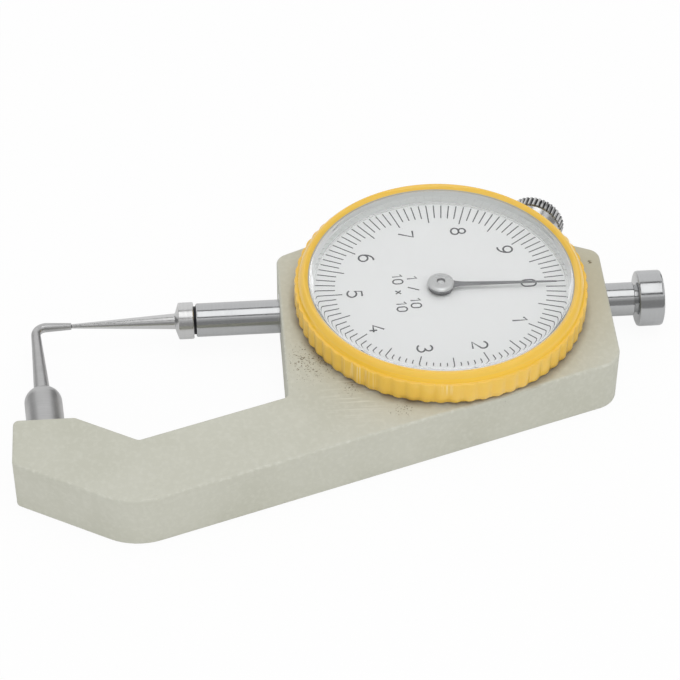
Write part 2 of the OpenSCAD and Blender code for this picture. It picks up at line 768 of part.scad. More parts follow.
// The rim's crest leans in over the crystal, and its nose follows the crystal's shoulder
module bezel() {
    rim_h = 1.78;
    cove_in = 0.66;
    cove_h = 0.8;
    cove_lean = 0.08;
    crest_in = 1.52;
    crest_round = 0.4;
    nose_in = 0.31;
    skirt_top = bezel_top - rim_h;
    cove_r = bezel_r - cove_in;
    crest_r = bezel_r - crest_in;
    seat_round = crystal_round + fixed_gap;
    nose_angle = acos(1 - nose_in / seat_round);
    nose_steps = ceil(nose_angle / arc_step);
    nose = [for (i = [0:nose_steps])
        [glass_r - seat_round, crystal_top - crystal_round] + polar(seat_round, nose_angle * i / nose_steps)];
    groove_r = boss_r - groove_depth + snap_w + snap_room;
    color("#e8c15a")
    difference() {
        union() {
            translate([0, 0, bezel_z]) linear_extrude(skirt_top - bezel_z) fluted_plan();
            rotate_extrude() polygon([
                [0, skirt_top], [cove_r, skirt_top], [cove_r - cove_lean, skirt_top + cove_h],
                [crest_r + crest_round, bezel_top - crest_round], [crest_r, bezel_top],
                [0, bezel_top]
            ]);
        }
        translate([0, 0, bezel_z - over]) cylinder(h = bezel_top, r = boss_r + run_gap);
        rotate_extrude() polygon(concat(
            [[0, dial_z], [glass_r, dial_z]], nose,
            [[crest_r, bezel_top], [crest_r, bezel_top + over], [0, bezel_top + over]]
        ));
        ring(boss_r, groove_r, snap_z, snap_z + snap_h + 2 * axial_gap);
    }
}

module dial() {
    arbor_room = 0.5;
    color("#e1e1e2")
    translate([0, 0, dial_z])
        difference() {
            cylinder(h = dial_t, r = glass_r - fixed_gap);
            translate([0, 0, -over]) cylinder(h = dial_t + 2 * over, d = arbor_d + 2 * arbor_room);
        }
}

module crystal() {
    outer_r = glass_r - fixed_gap;
    skirt_t = 1.2;
    shoulder = [for (a = [0:arc_step:90])
        [outer_r - crystal_round, crystal_top - crystal_round] + polar(crystal_round, a)];
    color("#dfe6ea", 0.35)
    rotate_extrude() polygon(concat(
        [[outer_r - skirt_t, dial_top], [outer_r, dial_top]], shoulder,
        [[0, crystal_top], [0, crystal_under], [outer_r - skirt_t, crystal_under]]
    ));
}

// Levels of the pointer: a foot, the needle's thickness, then the hub's button
hub_foot_h = 0.7;
needle_t = 0.2;
hub_foot_d = 4.3;
hub_neck_d = 2.4;

module pointer_hub() {
    edge_h = 0.4;
    edge_in = 0.6;
    color("#77787a")
    translate([0, 0, hub_z])
        rotate_extrude() polygon([
            [arbor_d / 2 + fixed_gap, 0], [hub_foot_d / 2, 0], [hub_foot_d / 2, hub_foot_h],
            [hub_neck_d / 2, hub_foot_h], [hub_neck_d / 2, hub_foot_h + needle_t],
            [hub_d / 2, hub_foot_h + needle_t], [hub_d / 2, hub_h - edge_h],
            [hub_d / 2 - edge_in, hub_h], [arbor_d / 2 + fixed_gap, hub_h]
        ]);
}

module pointer_needle() {
    root_in = 0.1;
    root_r = hub_d / 2 - root_in;
    root_w = 1.9;
    waist_x = 4.2;
    waist_w = 0.9;
    tip_w = 0.25;
    color("#5f6063")
    translate([0, 0, hub_z + hub_foot_h])
        rotate([0, 0, pointer_angle])
            linear_extrude(needle_t)
                difference() {
                    union() {
                        circle(r = root_r);
                        polygon([
                            [0, -root_w / 2], [waist_x, -waist_w / 2], [pointer_l, -tip_w / 2],
                            [pointer_l, tip_w / 2], [waist_x, waist_w / 2], [0, root_w / 2]
                        ]);
                    }
                    circle(d = hub_neck_d + 2 * fixed_gap);
                }
}

module knurl_plan() {
    polygon([for (i = [0:2 * knurl_teeth - 1])
        polar(knob_d / 2 - (i % 2) * knurl_depth, 180 * i / knurl_teeth)]);
}

module lock_screw() {
    tip_z = pad_top + fixed_gap;
    collar_z = lock_face + lock_collar_gap;
    knurl_z1 = lock_face + knob_h;
    knurl_z0 = knurl_z1 - knurl_l;
    core_in = 0.1;
    core_r = knob_d / 2 - knurl_depth - core_in;
    color("#8f9092")
    on_lock_axis() {
        rotate_extrude() polygon([
            [0, tip_z], [lock_d / 2, tip_z], [lock_d / 2, collar_z],
            [knob_collar_d / 2, collar_z], [knob_collar_d / 2, knurl_z0 - knob_cone_l],
            [core_r - knob_cone_in, knurl_z0 - knob_cone_l], [core_r, knurl_z0],
            [core_r, knurl_z1 - knob_edge], [core_r - knob_edge, knurl_z1], [0, knurl_z1]
        ]);
        translate([0, 0, knurl_z0]) linear_extrude(knurl_l - knob_edge) knurl_plan();
    }
}

module lock_pad() {
    color("#b89a55")
    difference() {
        on_lock_axis() cylinder(h = pad_top, d = lock_d - 2 * pad_gap);
        along_spindle(lock_x - 2 * spindle_d, lock_x + 2 * spindle_d, spindle_r + lock_gap);
    }
}

frame();
left_bush();
right_bush();
anvil();
anvil_set_screw();
spindle();
contact_point();
pull_cap();
guide_pin();
spring_pin();
spring_post();
return_spring();
movement_plate();
plate_screws();
lower_bush();
upper_bush();
pinion_arbor();
hairspring_collet();
hairspring();
hairspring_stud();
bezel_snap_ring();
bezel();
dial();
crystal();
pointer_needle();
pointer_hub();
lock_screw();
lock_pad();
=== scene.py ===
"""Dressed model of a dial caliper for thin dental work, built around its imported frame.

Shapes are drawn in millimetres and brought to metres when a piece is finished.
"""
import logging
import math
from dataclasses import dataclass, field
from enum import Enum
from typing import Callable, Sequence

import bpy
from mathutils import Matrix, Vector


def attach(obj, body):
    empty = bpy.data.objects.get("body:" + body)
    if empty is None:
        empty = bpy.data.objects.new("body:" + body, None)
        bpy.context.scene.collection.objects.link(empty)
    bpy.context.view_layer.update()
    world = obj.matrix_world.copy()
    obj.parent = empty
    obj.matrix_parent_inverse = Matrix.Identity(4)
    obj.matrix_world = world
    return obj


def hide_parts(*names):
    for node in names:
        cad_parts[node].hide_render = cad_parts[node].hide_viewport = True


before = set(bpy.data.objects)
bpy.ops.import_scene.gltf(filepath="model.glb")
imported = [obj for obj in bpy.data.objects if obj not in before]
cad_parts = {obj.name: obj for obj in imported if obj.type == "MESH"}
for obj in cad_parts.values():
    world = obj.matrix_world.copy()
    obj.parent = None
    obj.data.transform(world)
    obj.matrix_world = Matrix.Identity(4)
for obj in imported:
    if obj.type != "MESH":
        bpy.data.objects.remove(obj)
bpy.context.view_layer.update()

LOG = logging.getLogger("caliper")
MM = 0.001
FULL_TURN = 2 * math.pi
MERGE = 1e-4

Point = tuple[float, float, float]
Plan = tuple[float, float]
Spot = tuple[Point, float]
Piece = bpy.types.Object
Material = bpy.types.Material
Tree = bpy.types.NodeTree
Node = bpy.types.Node
Socket = bpy.types.NodeSocket


class Body(Enum):
    """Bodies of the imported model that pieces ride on."""

    FRAME = "frame"
    SPINDLE = "spindle"
    POINTER = "pointer"
    BEZEL = "bezel"
    LOCK_SCREW = "lock_screw"


class Slot(Enum):
    """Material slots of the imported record."""

    ENAMEL = "enamel"
    STEEL = "steel"
    POLISHED = "polished_steel"
    PLASTIC = "yellow_plastic"
    DIAL = "dial_enamel"
    ACRYLIC = "clear_acrylic"
    POINTER = "pointer_grey"


class Cut(Enum):
    """Ways that one solid works on another."""

    AWAY = "DIFFERENCE"
    JOIN = "UNION"


# Mesh tools

def deselect() -> None:
    """Leave edit mode and select nothing."""
    if bpy.context.mode != "OBJECT":
        bpy.ops.object.mode_set(mode="OBJECT")
    bpy.ops.object.select_all(action="DESELECT")


def take(piece: Piece) -> None:
    """Select one piece alone and make it active.

    Args:
        piece: The piece.
    """
    deselect()
    piece.select_set(True)
    bpy.context.view_layer.objects.active = piece


def edit(piece: Piece) -> None:
    """Open a piece in edit mode with everything selected.

    Args:
        piece: The piece.
    """
    take(piece)
    bpy.context.tool_settings.mesh_select_mode = (True, False, False)
    bpy.ops.object.mode_set(mode="EDIT")
    bpy.ops.mesh.select_all(action="SELECT")


def close_up() -> None:
    """Merge doubles, drop loose bits, turn the faces outwards and leave edit mode."""
    bpy.ops.mesh.select_all(action="SELECT")
    bpy.ops.mesh.remove_doubles(threshold=MERGE)
    bpy.ops.mesh.delete_loose()
    bpy.ops.mesh.select_all(action="SELECT")
    bpy.ops.mesh.normals_make_consistent(inside=False)
    bpy.ops.object.mode_set(mode="OBJECT")


def loop(name: str, points: Sequence[Point], filled: bool) -> Piece:
    """Add a circle and set its points along a closed outline.

    Args:
        name: Name of the new piece.
        points: Places of the outline's points, in order.
        filled: Whether the outline gets a face.

    Returns:
        The new piece.
    """
    deselect()
    fill = "NGON" if filled else "NOTHING"
    bpy.ops.mesh.primitive_circle_add(vertices=len(points), radius=1.0, fill_type=fill)
    piece = bpy.context.object
    piece.name = name
    piece.data.name = name
    for vertex, point in zip(piece.data.vertices, points):
        vertex.co = point
    return piece


def prism(name: str, plan: Sequence[Plan], low: float, high: float) -> Piece:
    """Extrude a flat outline upwards.

    Args:
        name: Name of the new piece.
        plan: Outline in plan.
        low: Level of the underside.
        high: Level of the top.

    Returns:
        The closed prism.
    """
    piece = loop(name, [(x, y, low) for x, y in plan], True)
    edit(piece)
    bpy.ops.mesh.extrude_region_move(TRANSFORM_OT_translate={"value": (0.0, 0.0, high - low)})
    close_up()
    return piece


def lathe(name: str, profile: Sequence[Plan], steps: int = 96) -> Piece:
    """Spin a closed profile of radius and height round the Z axis.

    Args:
        name: Name of the new piece.
        profile: Points of radius and height, in order round the section.
        steps: Steps in the full turn.

    Returns:
        The closed turned piece.
    """
    piece = loop(name, [(radius, 0.0, height) for radius, height in profile], False)
    edit(piece)
    bpy.ops.mesh.spin(steps=steps, angle=FULL_TURN, center=(0.0, 0.0, 0.0), axis=(0.0, 0.0, 1.0))
    close_up()
    return piece


def rod(name: str, radius: float, start: Vector, end: Vector) -> Piece:
    """Add a round bar between two points, as a cutter.

    Args:
        name: Name of the new bar.
        radius: Radius of the bar.
        start: Middle of its first end.
        end: Middle of its other end.

    Returns:
        The bar.
    """
    deselect()
    along = end - start
    turn = along.to_track_quat("Z", "Y").to_euler()
    bpy.ops.mesh.primitive_cylinder_add(
        vertices=64, radius=radius, depth=along.length, location=(start + end) / 2, rotation=turn)
    piece = bpy.context.object
    piece.name = name
    bpy.ops.object.transform_apply()
    return piece


def seat(piece: Piece, place: Matrix) -> Piece:
    """Put a piece at a place and apply it to the mesh.

    Args:
        piece: The piece, drawn about the origin.
        place: Where it goes.

    Returns:
        The same piece.
    """
    take(piece)
    piece.matrix_world = place
    bpy.ops.object.transform_apply()
    return piece


def work(piece: Piece, tool: Piece, way: Cut) -> None:
    """Cut a tool out of a piece, or join it on, and drop the tool.

    Args:
        piece: The piece that is kept.
        tool: The solid that works on it.
        way: What the tool does.
    """
    take(piece)
    step = piece.modifiers.new("work", "BOOLEAN")
    step.object = tool
    step.operation = way.value
    step.solver = "EXACT"
    bpy.ops.object.modifier_apply(modifier=step.name)
    bpy.data.objects.remove(tool)


def pick_edges(piece: Piece, wanted: Callable[[Vector, Vector], bool]) -> None:
    """Open a piece in edit mode with the wanted edges selected.

    Args:
        piece: The piece.
        wanted: Test of an edge by its two ends.
    """
    take(piece)
    mesh = piece.data
    for group in (mesh.vertices, mesh.edges, mesh.polygons):
        for item in group:
            item.select = False
    for edge in mesh.edges:
        first, second = (mesh.vertices[index].co for index in edge.vertices)
        edge.select = wanted(first, second)
    bpy.context.tool_settings.mesh_select_mode = (False, True, False)
    bpy.ops.object.mode_set(mode="EDIT")


def ease(piece: Piece, wanted: Callable[[Vector, Vector], bool], width: float,
         segments: int = 3) -> None:
    """Bevel the wanted edges of a piece.

    Args:
        piece: The piece.
        wanted: Test of an edge by its two ends.
        width: Width of the bevel.
        segments: Faces across the bevel.
    """
    pick_edges(piece, wanted)
    bpy.ops.mesh.bevel(offset=width, segments=segments, affect="EDGES", clamp_overlap=False)
    close_up()


def press(piece: Piece, depth: Callable[[float, float, float], float]) -> None:
    """Press the points of a turned piece inwards.

    Args:
        piece: The piece, turned about the Z axis.
        depth: How far a point goes in, from its radius, its angle and its height.
    """
    for vertex in piece.data.vertices:
        reach = math.hypot(vertex.co.x, vertex.co.y)
        if reach > MERGE:
            scale = 1 - depth(reach, math.atan2(vertex.co.y, vertex.co.x), vertex.co.z) / reach
            vertex.co.x *= scale
            vertex.co.y *= scale


def gather(name: str, parts: Sequence[Piece]) -> Piece:
    """Join parts into one piece.

    Args:
        name: Name of the joined piece.
        parts: The parts, the first of which takes in the rest.

    Returns:
        The joined piece.
    """
    deselect()
    for part in parts:
        part.select_set(True)
    bpy.context.view_layer.objects.active = parts[0]
    bpy.ops.object.join()
    piece = bpy.context.object
    piece.name = name
    piece.data.name = name
    return piece


def finish(piece: Piece, coats: Sequence[Material], body: Body, slot: Slot,
           *nodes: str, smooth: float = 32.0) -> Piece:
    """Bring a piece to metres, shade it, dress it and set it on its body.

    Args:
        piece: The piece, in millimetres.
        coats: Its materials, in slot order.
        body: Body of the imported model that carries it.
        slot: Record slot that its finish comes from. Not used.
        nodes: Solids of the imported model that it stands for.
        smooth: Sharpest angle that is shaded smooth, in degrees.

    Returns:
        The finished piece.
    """
    seat(piece, Matrix.Scale(MM, 4))
    bpy.ops.object.shade_smooth_by_angle(angle=math.radians(smooth))
    even = piece.modifiers.new("even_shading", "WEIGHTED_NORMAL")
    even.keep_sharp = True
    bpy.ops.object.modifier_apply(modifier=even.name)
    chosen = [polygon.material_index for polygon in piece.data.polygons]
    piece.data.materials.clear()
    for coat in coats:
        piece.data.materials.append(coat)
    piece.data.polygons.foreach_set("material_index", [min(i, len(coats) - 1) for i in chosen])
    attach(piece, body.value)
    if nodes:
        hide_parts(*nodes)
    LOG.info("%s: %d faces on %s", piece.name, len(piece.data.polygons), body.value)
    return piece


def polar(radius: float, degrees: float) -> Plan:
    """Point at a radius and an angle."""
    return radius * math.cos(math.radians(degrees)), radius * math.sin(math.radians(degrees))


def arc(middle: Plan, radius: Plan, start: float, end: float, steps: int) -> list[Plan]:
    """Points along an arc of a circle or an ellipse.

    Args:
        middle: Middle of the arc.
        radius: Its radius across and up.
        start: First angle, in degrees.
        end: Last angle, in degrees.
        steps: Steps between them.

    Returns:
        The points, both ends included.
    """
    angles = [math.radians(start + (end - start) * i / steps) for i in range(steps + 1)]
    return [(middle[0] + radius[0] * math.cos(a), middle[1] + radius[1] * math.sin(a)) for a in angles]


def rounded(corners: Sequence[tuple[Plan, float]], step: float = 6.0) -> list[Plan]:
    """Outline with each corner rounded to its own radius.

    Args:
        corners: Each corner's place and radius, in order.
        step: Largest turn between two points of an arc, in degrees.

    Returns:
        The outline's points.
    """
    points: list[Plan] = []
    count = len(corners)
    for index, (place, radius) in enumerate(corners):
        corner = Vector(place)
        back = (Vector(corners[index - 1][0]) - corner).normalized()
        ahead = (Vector(corners[(index + 1) % count][0]) - corner).normalized()
        half = math.acos(max(-1.0, min(1.0, back.dot(ahead)))) / 2
        middle = corner + (back + ahead).normalized() * radius / math.sin(half)
        first = corner + back * radius / math.tan(half) - middle
        last = corner + ahead * radius / math.tan(half) - middle
        begin = math.degrees(math.atan2(first.y, first.x))
        turn = (math.degrees(math.atan2(last.y, last.x)) - begin + 540) % 360 - 180
        steps = max(2, math.ceil(abs(turn) / step))
        points += arc(tuple(middle), (radius, radius), begin, begin + turn, steps)
    return points


# Node tools

def linear(colour: str) -> tuple[float, float, float, float]:
    """Turn an sRGB hex value to a linear colour.

    Args:
        colour: The hex value, with its leading sign.

    Returns:
        The linear colour, with full alpha.
    """
    parts = [int(colour[i:i + 2], 16) / 255 for i in (1, 3, 5)]
    red, green, blue = (c / 12.92 if c <= 0.04045 else ((c + 0.055) / 1.055) ** 2.4 for c in parts)
    return red, green, blue, 1.0


def per(size: float) -> float:
    """Pattern scale that gives details of a size in millimetres."""
    return 1 / (size * MM)


def add(tree: Tree, kind: str, inputs: dict | None = None, **settings: object) -> Node:
    """Add a node with its settings, values and links.

    Args:
        tree: Tree that takes the node.
        kind: Type of the node.
        inputs: Socket name or number to a value, or to the socket that feeds it.
        settings: Properties of the node.

    Returns:
        The new node.
    """
    node = tree.nodes.new(kind)
    for key, value in settings.items():
        setattr(node, key, value)
    for key, value in (inputs or {}).items():
        if isinstance(value, Socket):
            tree.links.new(value, node.inputs[key])
        else:
            node.inputs[key].default_value = value
    return node


def blank(name: str) -> tuple[Material, Tree, Node, Socket]:
    """Start a material.

    Args:
        name: Name of the material.

    Returns:
        The material, its tree, its main shader and its object coordinates.
    """
    material = bpy.data.materials.new(name)
    material.use_nodes = True
    tree = material.node_tree
    shader = tree.nodes["Principled BSDF"]
    place = add(tree, "ShaderNodeTexCoord").outputs["Object"]
    return material, tree, shader, place


# Finishes

def around(tree: Tree, place: Socket, spot: Point, span: Plan, shares: Plan) -> Socket:
    """Share that changes from the middle of a round zone to its rim.

    Args:
        tree: Tree of the material.
        place: Object coordinates.
        spot: Middle of the zone, in millimetres.
        span: Radius where the change starts and where it ends, in millimetres.
        shares: Share inside and outside.

    Returns:
        The share.
    """
    away = add(tree, "ShaderNodeVectorMath", {0: place, 1: [v * MM for v in spot]}, operation="DISTANCE")
    start, end = (radius * MM for radius in span)
    zone = add(tree, "ShaderNodeMapRange",
               {0: away.outputs["Value"], 1: start, 2: end, 3: shares[0], 4: shares[1]})
    return zone.outputs[0]


def surface(tree: Tree, shader: Node, ground: str, layers: Sequence[tuple[Socket, str]], rough: Socket,
            height: Socket, relief: Plan) -> None:
    """Give a shader its layers of colour, its roughness and its bump.

    Args:
        tree: Tree of the material.
        shader: Its main shader.
        ground: Colour under all layers.
        layers: Share and colour of each layer, from the lowest up.
        rough: The roughness.
        height: Pattern of the bump.
        relief: Strength of the bump, and its depth in millimetres.
    """
    tone: Socket | tuple[float, ...] = linear(ground)
    for share, colour in layers:
        tone = add(tree, "ShaderNodeMix", {0: share, 6: tone, 7: linear(colour)}, data_type="RGBA").outputs[2]
    bump = add(tree, "ShaderNodeBump", {"Height": height, "Strength": relief[0], "Distance": relief[1] * MM})
    for feed, socket in ((tone, "Base Color"), (rough, "Roughness"), (bump.outputs[0], "Normal")):
        tree.links.new(feed, shader.inputs[socket])


@dataclass(frozen=True)
class Enamel:
    """Satin enamel sprayed on a casting: slightly uneven, with chips round the bezel, and grime with painted
    shade just outside the bezel's foot.
    """

    name: str = "satin_enamel_on_casting"
    colour: str = "#C8C8BB"
    second: str = "#C2C2B4"
    worn: str = "#D8D8CD"
    # Brown for grime, which also paints the shade at the bezel's foot
    grime: str = "#94805A"
    chip: str = "#66573E"
    aged: str = "#B9B49D"
    wear: float = 0.0
    grime_ring: Plan = (25.7, 26.8)
    top_levels: Plan = (10.1, 10.6)
    handled: Spot = ((30.0, 6.0, 10.7), 21.0)
    scuffed: Spot = ((-16.0, -22.0, 10.7), 8.0)
    spared: float = 0.75
    knocks: tuple[tuple[Point, float, float], ...] = (
        ((-23.6, -13.6, 10.7), 8.5, 0.565), ((-17.5, -20.5, 10.7), 3.4, 0.585),
        ((-9.0, -26.0, 10.7), 3.2, 0.59), ((9.4, -25.6, 10.7), 4.0, 0.58),
        ((9.7, -25.0, 10.7), 1.1, 0.4), ((8.5, -24.9, 10.7), 0.8, 0.4), ((27.8, 8.3, 10.7), 0.8, 0.44))

    def make(self) -> Material:
        """Build the material: patches give the uneven spray, specks the chips, bump the orange peel.

        Returns:
            The material.
        """
        material, tree, shader, place = blank(self.name)
        patch = add(tree, "ShaderNodeTexNoise", {"Vector": place, "Scale": per(14), "Detail": 3.0})
        even = add(tree, "ShaderNodeMapRange", {0: patch.outputs[0], 1: 0.35, 2: 0.65})
        mottle = add(tree, "ShaderNodeTexNoise", {"Vector": place, "Scale": per(0.8), "Detail": 4.0})
        light = add(tree, "ShaderNodeMapRange", {0: mottle.outputs[0], 1: 0.45, 2: 0.75, 4: 0.35 + self.wear})

        # Grime and painted shade lie in patches on the top face, close under the bezel's foot
        flat = add(tree, "ShaderNodeVectorMath", {0: place, 1: (1.0, 1.0, 0.0)}, operation="MULTIPLY")
        reach = add(tree, "ShaderNodeVectorMath", {0: flat.outputs[0]}, operation="LENGTH")
        start, end = (radius * MM for radius in self.grime_ring)
        # Painted shade: the brown of this ring also darkens the gap under the bezel's foot
        close = add(tree, "ShaderNodeMapRange", {0: reach.outputs["Value"], 1: start, 2: end, 3: 0.8, 4: 0.0})
        cloud = add(tree, "ShaderNodeTexNoise", {"Vector": place, "Scale": per(5), "Detail": 4.0})
        cloudy = add(tree, "ShaderNodeMapRange", {0: cloud.outputs[0], 1: 0.35, 2: 0.7, 3: 0.15})
        height = add(tree, "ShaderNodeSeparateXYZ", {0: place})
        start, end = (level * MM for level in self.top_levels)
        upper = add(tree, "ShaderNodeMapRange", {0: height.outputs["Z"], 1: start, 2: end})
        grime_shade_share = close
        for share in (cloudy, upper):
            grime_shade_share = add(tree, "ShaderNodeMath", {0: grime_shade_share.outputs[0], 1: share.outputs[0]},
                          operation="MULTIPLY")

        # Long scratches in one zone, and a warmer, darker tone over the right end
        spot, size = self.handled
        right_end_share = around(tree, place, spot, (0.0, size), (0.75, 0.0))
        spot, size = self.scuffed
        scuff = around(tree, place, spot, (0.0, size), (0.8, 0.0))
        drag = add(tree, "ShaderNodeMapping", {"Vector": place, "Rotation": (0.0, 0.0, -0.22),
                                               "Scale": (per(7), per(0.35), per(7))}, vector_type="POINT")
        lines = add(tree, "ShaderNodeTexNoise", {"Vector": drag.outputs[0], "Scale": 1.0, "Detail": 2.0})
        scratch = add(tree, "ShaderNodeMapRange", {0: lines.outputs[0], 1: 0.54, 2: 0.62})
        marked = add(tree, "ShaderNodeMath", {0: scuff, 1: scratch.outputs[0]}, operation="MULTIPLY")

        # Chips are the specks that pass a limit, which is lower where the frame was knocked
        speck = add(tree, "ShaderNodeTexNoise",
                    {"Vector": place, "Scale": per(0.33), "Detail": 3.0, "Roughness": 0.65})
        limit: Socket | float = self.spared
        for spot, size, share in self.knocks:
            zone = around(tree, place, spot, (size / 4, size), (share, self.spared))
            limit = add(tree, "ShaderNodeMath", {0: limit, 1: zone}, operation="MINIMUM").outputs[0]
        chips = add(tree, "ShaderNodeMath", {0: speck.outputs[0], 1: limit}, operation="SUBTRACT")
        chipped = add(tree, "ShaderNodeMapRange", {0: chips.outputs[0], 1: 0.0, 2: 0.04, 4: 0.85})

        layers = (
            (even.outputs[0], self.second), (light.outputs[0], self.worn), (grime_shade_share.outputs[0], self.grime),
            (right_end_share, self.aged), (marked.outputs[0], self.worn), (chipped.outputs[0], self.chip))
        rough = add(tree, "ShaderNodeMapRange", {0: mottle.outputs[0], 3: 0.5, 4: 0.62})
        peel = add(tree, "ShaderNodeTexNoise", {"Vector": place, "Scale": per(0.9), "Detail": 3.0})
        surface(tree, shader, self.colour, layers, rough.outputs[0], peel.outputs[0], (0.35, 0.06))
        shader.inputs["Specular IOR Level"].default_value = 0.35
        return material


@dataclass(frozen=True)
class TurnedMetal:
    """Metal finished on a lathe: fine rings across its axis, which break up what it mirrors."""

    name: str
    colour: str
    second: str
    roughness: float
    rings: Point
    depth: float = 0.2

    def make(self) -> Material:
        """Build the material: stretched noise gives the tool rings, a broader one the handling marks.

        Returns:
            The material.
        """
        material, tree, shader, place = blank(self.name)
        scale = [per(size) for size in self.rings]
        across = add(tree, "ShaderNodeMapping", {"Vector": place, "Scale": scale}, vector_type="POINT")
        lines = add(tree, "ShaderNodeTexNoise", {"Vector": across.outputs[0], "Scale": 1.0, "Detail": 4.0})
        smear = add(tree, "ShaderNodeTexNoise", {"Vector": place, "Scale": per(3), "Detail": 3.0})
        rough = add(tree, "ShaderNodeMapRange",
                    {0: smear.outputs[0], 1: 0.3, 2: 0.7, 3: self.roughness * 0.8, 4: self.roughness * 1.25})
        layers = [(lines.outputs[0], self.second)]
        surface(tree, shader, self.colour, layers, rough.outputs[0], lines.outputs[0], (self.depth, 0.01))
        shader.inputs["Metallic"].default_value = 1.0
        return material


@dataclass(frozen=True)
class MouldedPlastic:
    """Glossy moulded ABS: even colour with a faint flow pattern, a clear shine, dirt and painted shade
    darkening its foot, and pale scuffs that paint highlights on its skirt.
    """

    name: str = "moulded_yellow_abs"
    colour: str = "#F4CA58"
    second: str = "#EFC048"
    # Brown for dirt at the foot, which also paints its shade
    grime: str = "#8A5F22"
    scuff: str = "#FBE7B0"
    foot_levels: Plan = (11.1, 12.2)
    ledge_levels: Plan = (15.2, 15.5)
    # Spots of pale streaks that paint highlights on the skirt, with scuffs
    rubbed: tuple[Spot, ...] = (((-1.6, -25.6, 15.2), 2.4), ((-16.0, -20.1, 14.2), 4.6))

    def make(self) -> Material:
        """Build the material: broad noise gives the flow and the dirt with painted shade at the foot, upright
        streaks the scuffs and painted highlights.

        Returns:
            The material.
        """
        material, tree, shader, place = blank(self.name)
        flow = add(tree, "ShaderNodeTexNoise", {"Vector": place, "Scale": per(6), "Detail": 3.0})
        height = add(tree, "ShaderNodeSeparateXYZ", {0: place})
        foot, skirt = (
            add(tree, "ShaderNodeMapRange",
                {0: height.outputs["Z"], 1: low * MM, 2: high * MM, 3: 1.0, 4: 0.0}).outputs[0]
            for low, high in (self.foot_levels, self.ledge_levels))
        stain = add(tree, "ShaderNodeTexNoise", {"Vector": place, "Scale": per(2.5), "Detail": 4.0})
        patchy = add(tree, "ShaderNodeMapRange", {0: stain.outputs[0], 1: 0.4, 2: 0.75, 4: 0.7})
        # Painted shade with dirt: darker towards the foot, where the skirt meets the frame
        foot_grime_shade = add(tree, "ShaderNodeMath", {0: foot, 1: patchy.outputs[0]}, operation="MULTIPLY")
        drag = add(tree, "ShaderNodeMapping",
                   {"Vector": place, "Scale": (per(0.22), per(0.22), per(20))}, vector_type="POINT")
        lines = add(tree, "ShaderNodeTexNoise", {"Vector": drag.outputs[0], "Scale": 1.0, "Detail": 2.0})
        streak = add(tree, "ShaderNodeMapRange", {0: lines.outputs[0], 1: 0.54, 2: 0.66})
        streak = add(tree, "ShaderNodeMath", {0: streak.outputs[0], 1: skirt}, operation="MULTIPLY")
        layers = [(flow.outputs[0], self.second), (foot_grime_shade.outputs[0], self.grime)]
        # Painted highlights: pale streaks in two spots of the skirt, with scuffs
        for spot, size in self.rubbed:
            zone = around(tree, place, spot, (size / 4, size), (0.6, 0.0))
            painted_glint = add(tree, "ShaderNodeMath", {0: zone, 1: streak.outputs[0]}, operation="MULTIPLY")
            layers.append((painted_glint.outputs[0], self.scuff))
        fine = add(tree, "ShaderNodeTexNoise", {"Vector": place, "Scale": per(0.9), "Detail": 2.0})
        rough = add(tree, "ShaderNodeMapRange", {0: fine.outputs[0], 3: 0.1, 4: 0.22})
        surface(tree, shader, self.colour, layers, rough.outputs[0], fine.outputs[0], (0.12, 0.03))
        shader.inputs["IOR"].default_value = 1.53
        shader.inputs["Subsurface Weight"].default_value = 0.08
        shader.inputs["Subsurface Radius"].default_value = (0.001, 0.0006, 0.0002)
        return material


@dataclass(frozen=True)
class Paint:
    """Matt printed or sprayed paint: an even coat with a very fine tooth."""

    name: str
    colour: str
    second: str
    roughness: float
    tooth: float = 0.25

    def make(self) -> Material:
        """Build the material: one fine noise shifts the tone and roughens the surface.

        Returns:
            The material.
        """
        material, tree, shader, place = blank(self.name)
        fine = add(tree, "ShaderNodeTexNoise", {"Vector": place, "Scale": per(self.tooth), "Detail": 3.0})
        rough = add(tree, "ShaderNodeMapRange",
                    {0: fine.outputs[0], 3: self.roughness * 0.9, 4: self.roughness * 1.1})
        layers = [(fine.outputs[0], self.second)]
        surface(tree, shader, self.colour, layers, rough.outputs[0], fine.outputs[0], (0.1, 0.01))
        return material


@dataclass(frozen=True)
class ClearAcrylic:
    """Polished clear acrylic: sharp reflections, and lamps shine through it on to the dial."""

    name: str = "polished_clear_acrylic"
    colour: str = "#FAFBFB"
    bounces: float = 4.5

    def make(self) -> Material:
        """Build the material: glass for the eye, clear for shadows and for light long inside it.

        Returns:
            The material.
        """
        material, tree, shader, place = blank(self.name)
        shader.inputs["Base Color"].default_value = linear(self.colour)
        shader.inputs["Transmission Weight"].default_value = 1.0
        shader.inputs["IOR"].default_value = 1.49
        wipe = add(tree, "ShaderNodeTexNoise", {"Vector": place, "Scale": per(4), "Detail": 3.0})
        rough = add(tree, "ShaderNodeMapRange", {0: wipe.outputs[0], 1: 0.4, 2: 0.8, 3: 0.0, 4: 0.03})
        tree.links.new(rough.outputs[0], shader.inputs["Roughness"])
        ray = add(tree, "ShaderNodeLightPath")
        clear = add(tree, "ShaderNodeBsdfTransparent")
        deep = add(tree, "ShaderNodeMath", {0: ray.outputs["Ray Depth"], 1: self.bounces},
                   operation="GREATER_THAN")
        passes = add(tree, "ShaderNodeMath", {0: ray.outputs["Is Shadow Ray"], 1: deep.outputs[0]},
                     operation="MAXIMUM")
        both = add(tree, "ShaderNodeMixShader",
                   {0: passes.outputs[0], 1: shader.outputs[0], 2: clear.outputs[0]})
        tree.links.new(both.outputs[0], tree.nodes["Material Output"].inputs["Surface"])
        return material


def coat(kind: Enamel | TurnedMetal | MouldedPlastic | Paint | ClearAcrylic) -> Material:
    """Palette field that builds a finish's material when the palette is made."""
    return field(default_factory=kind.make)


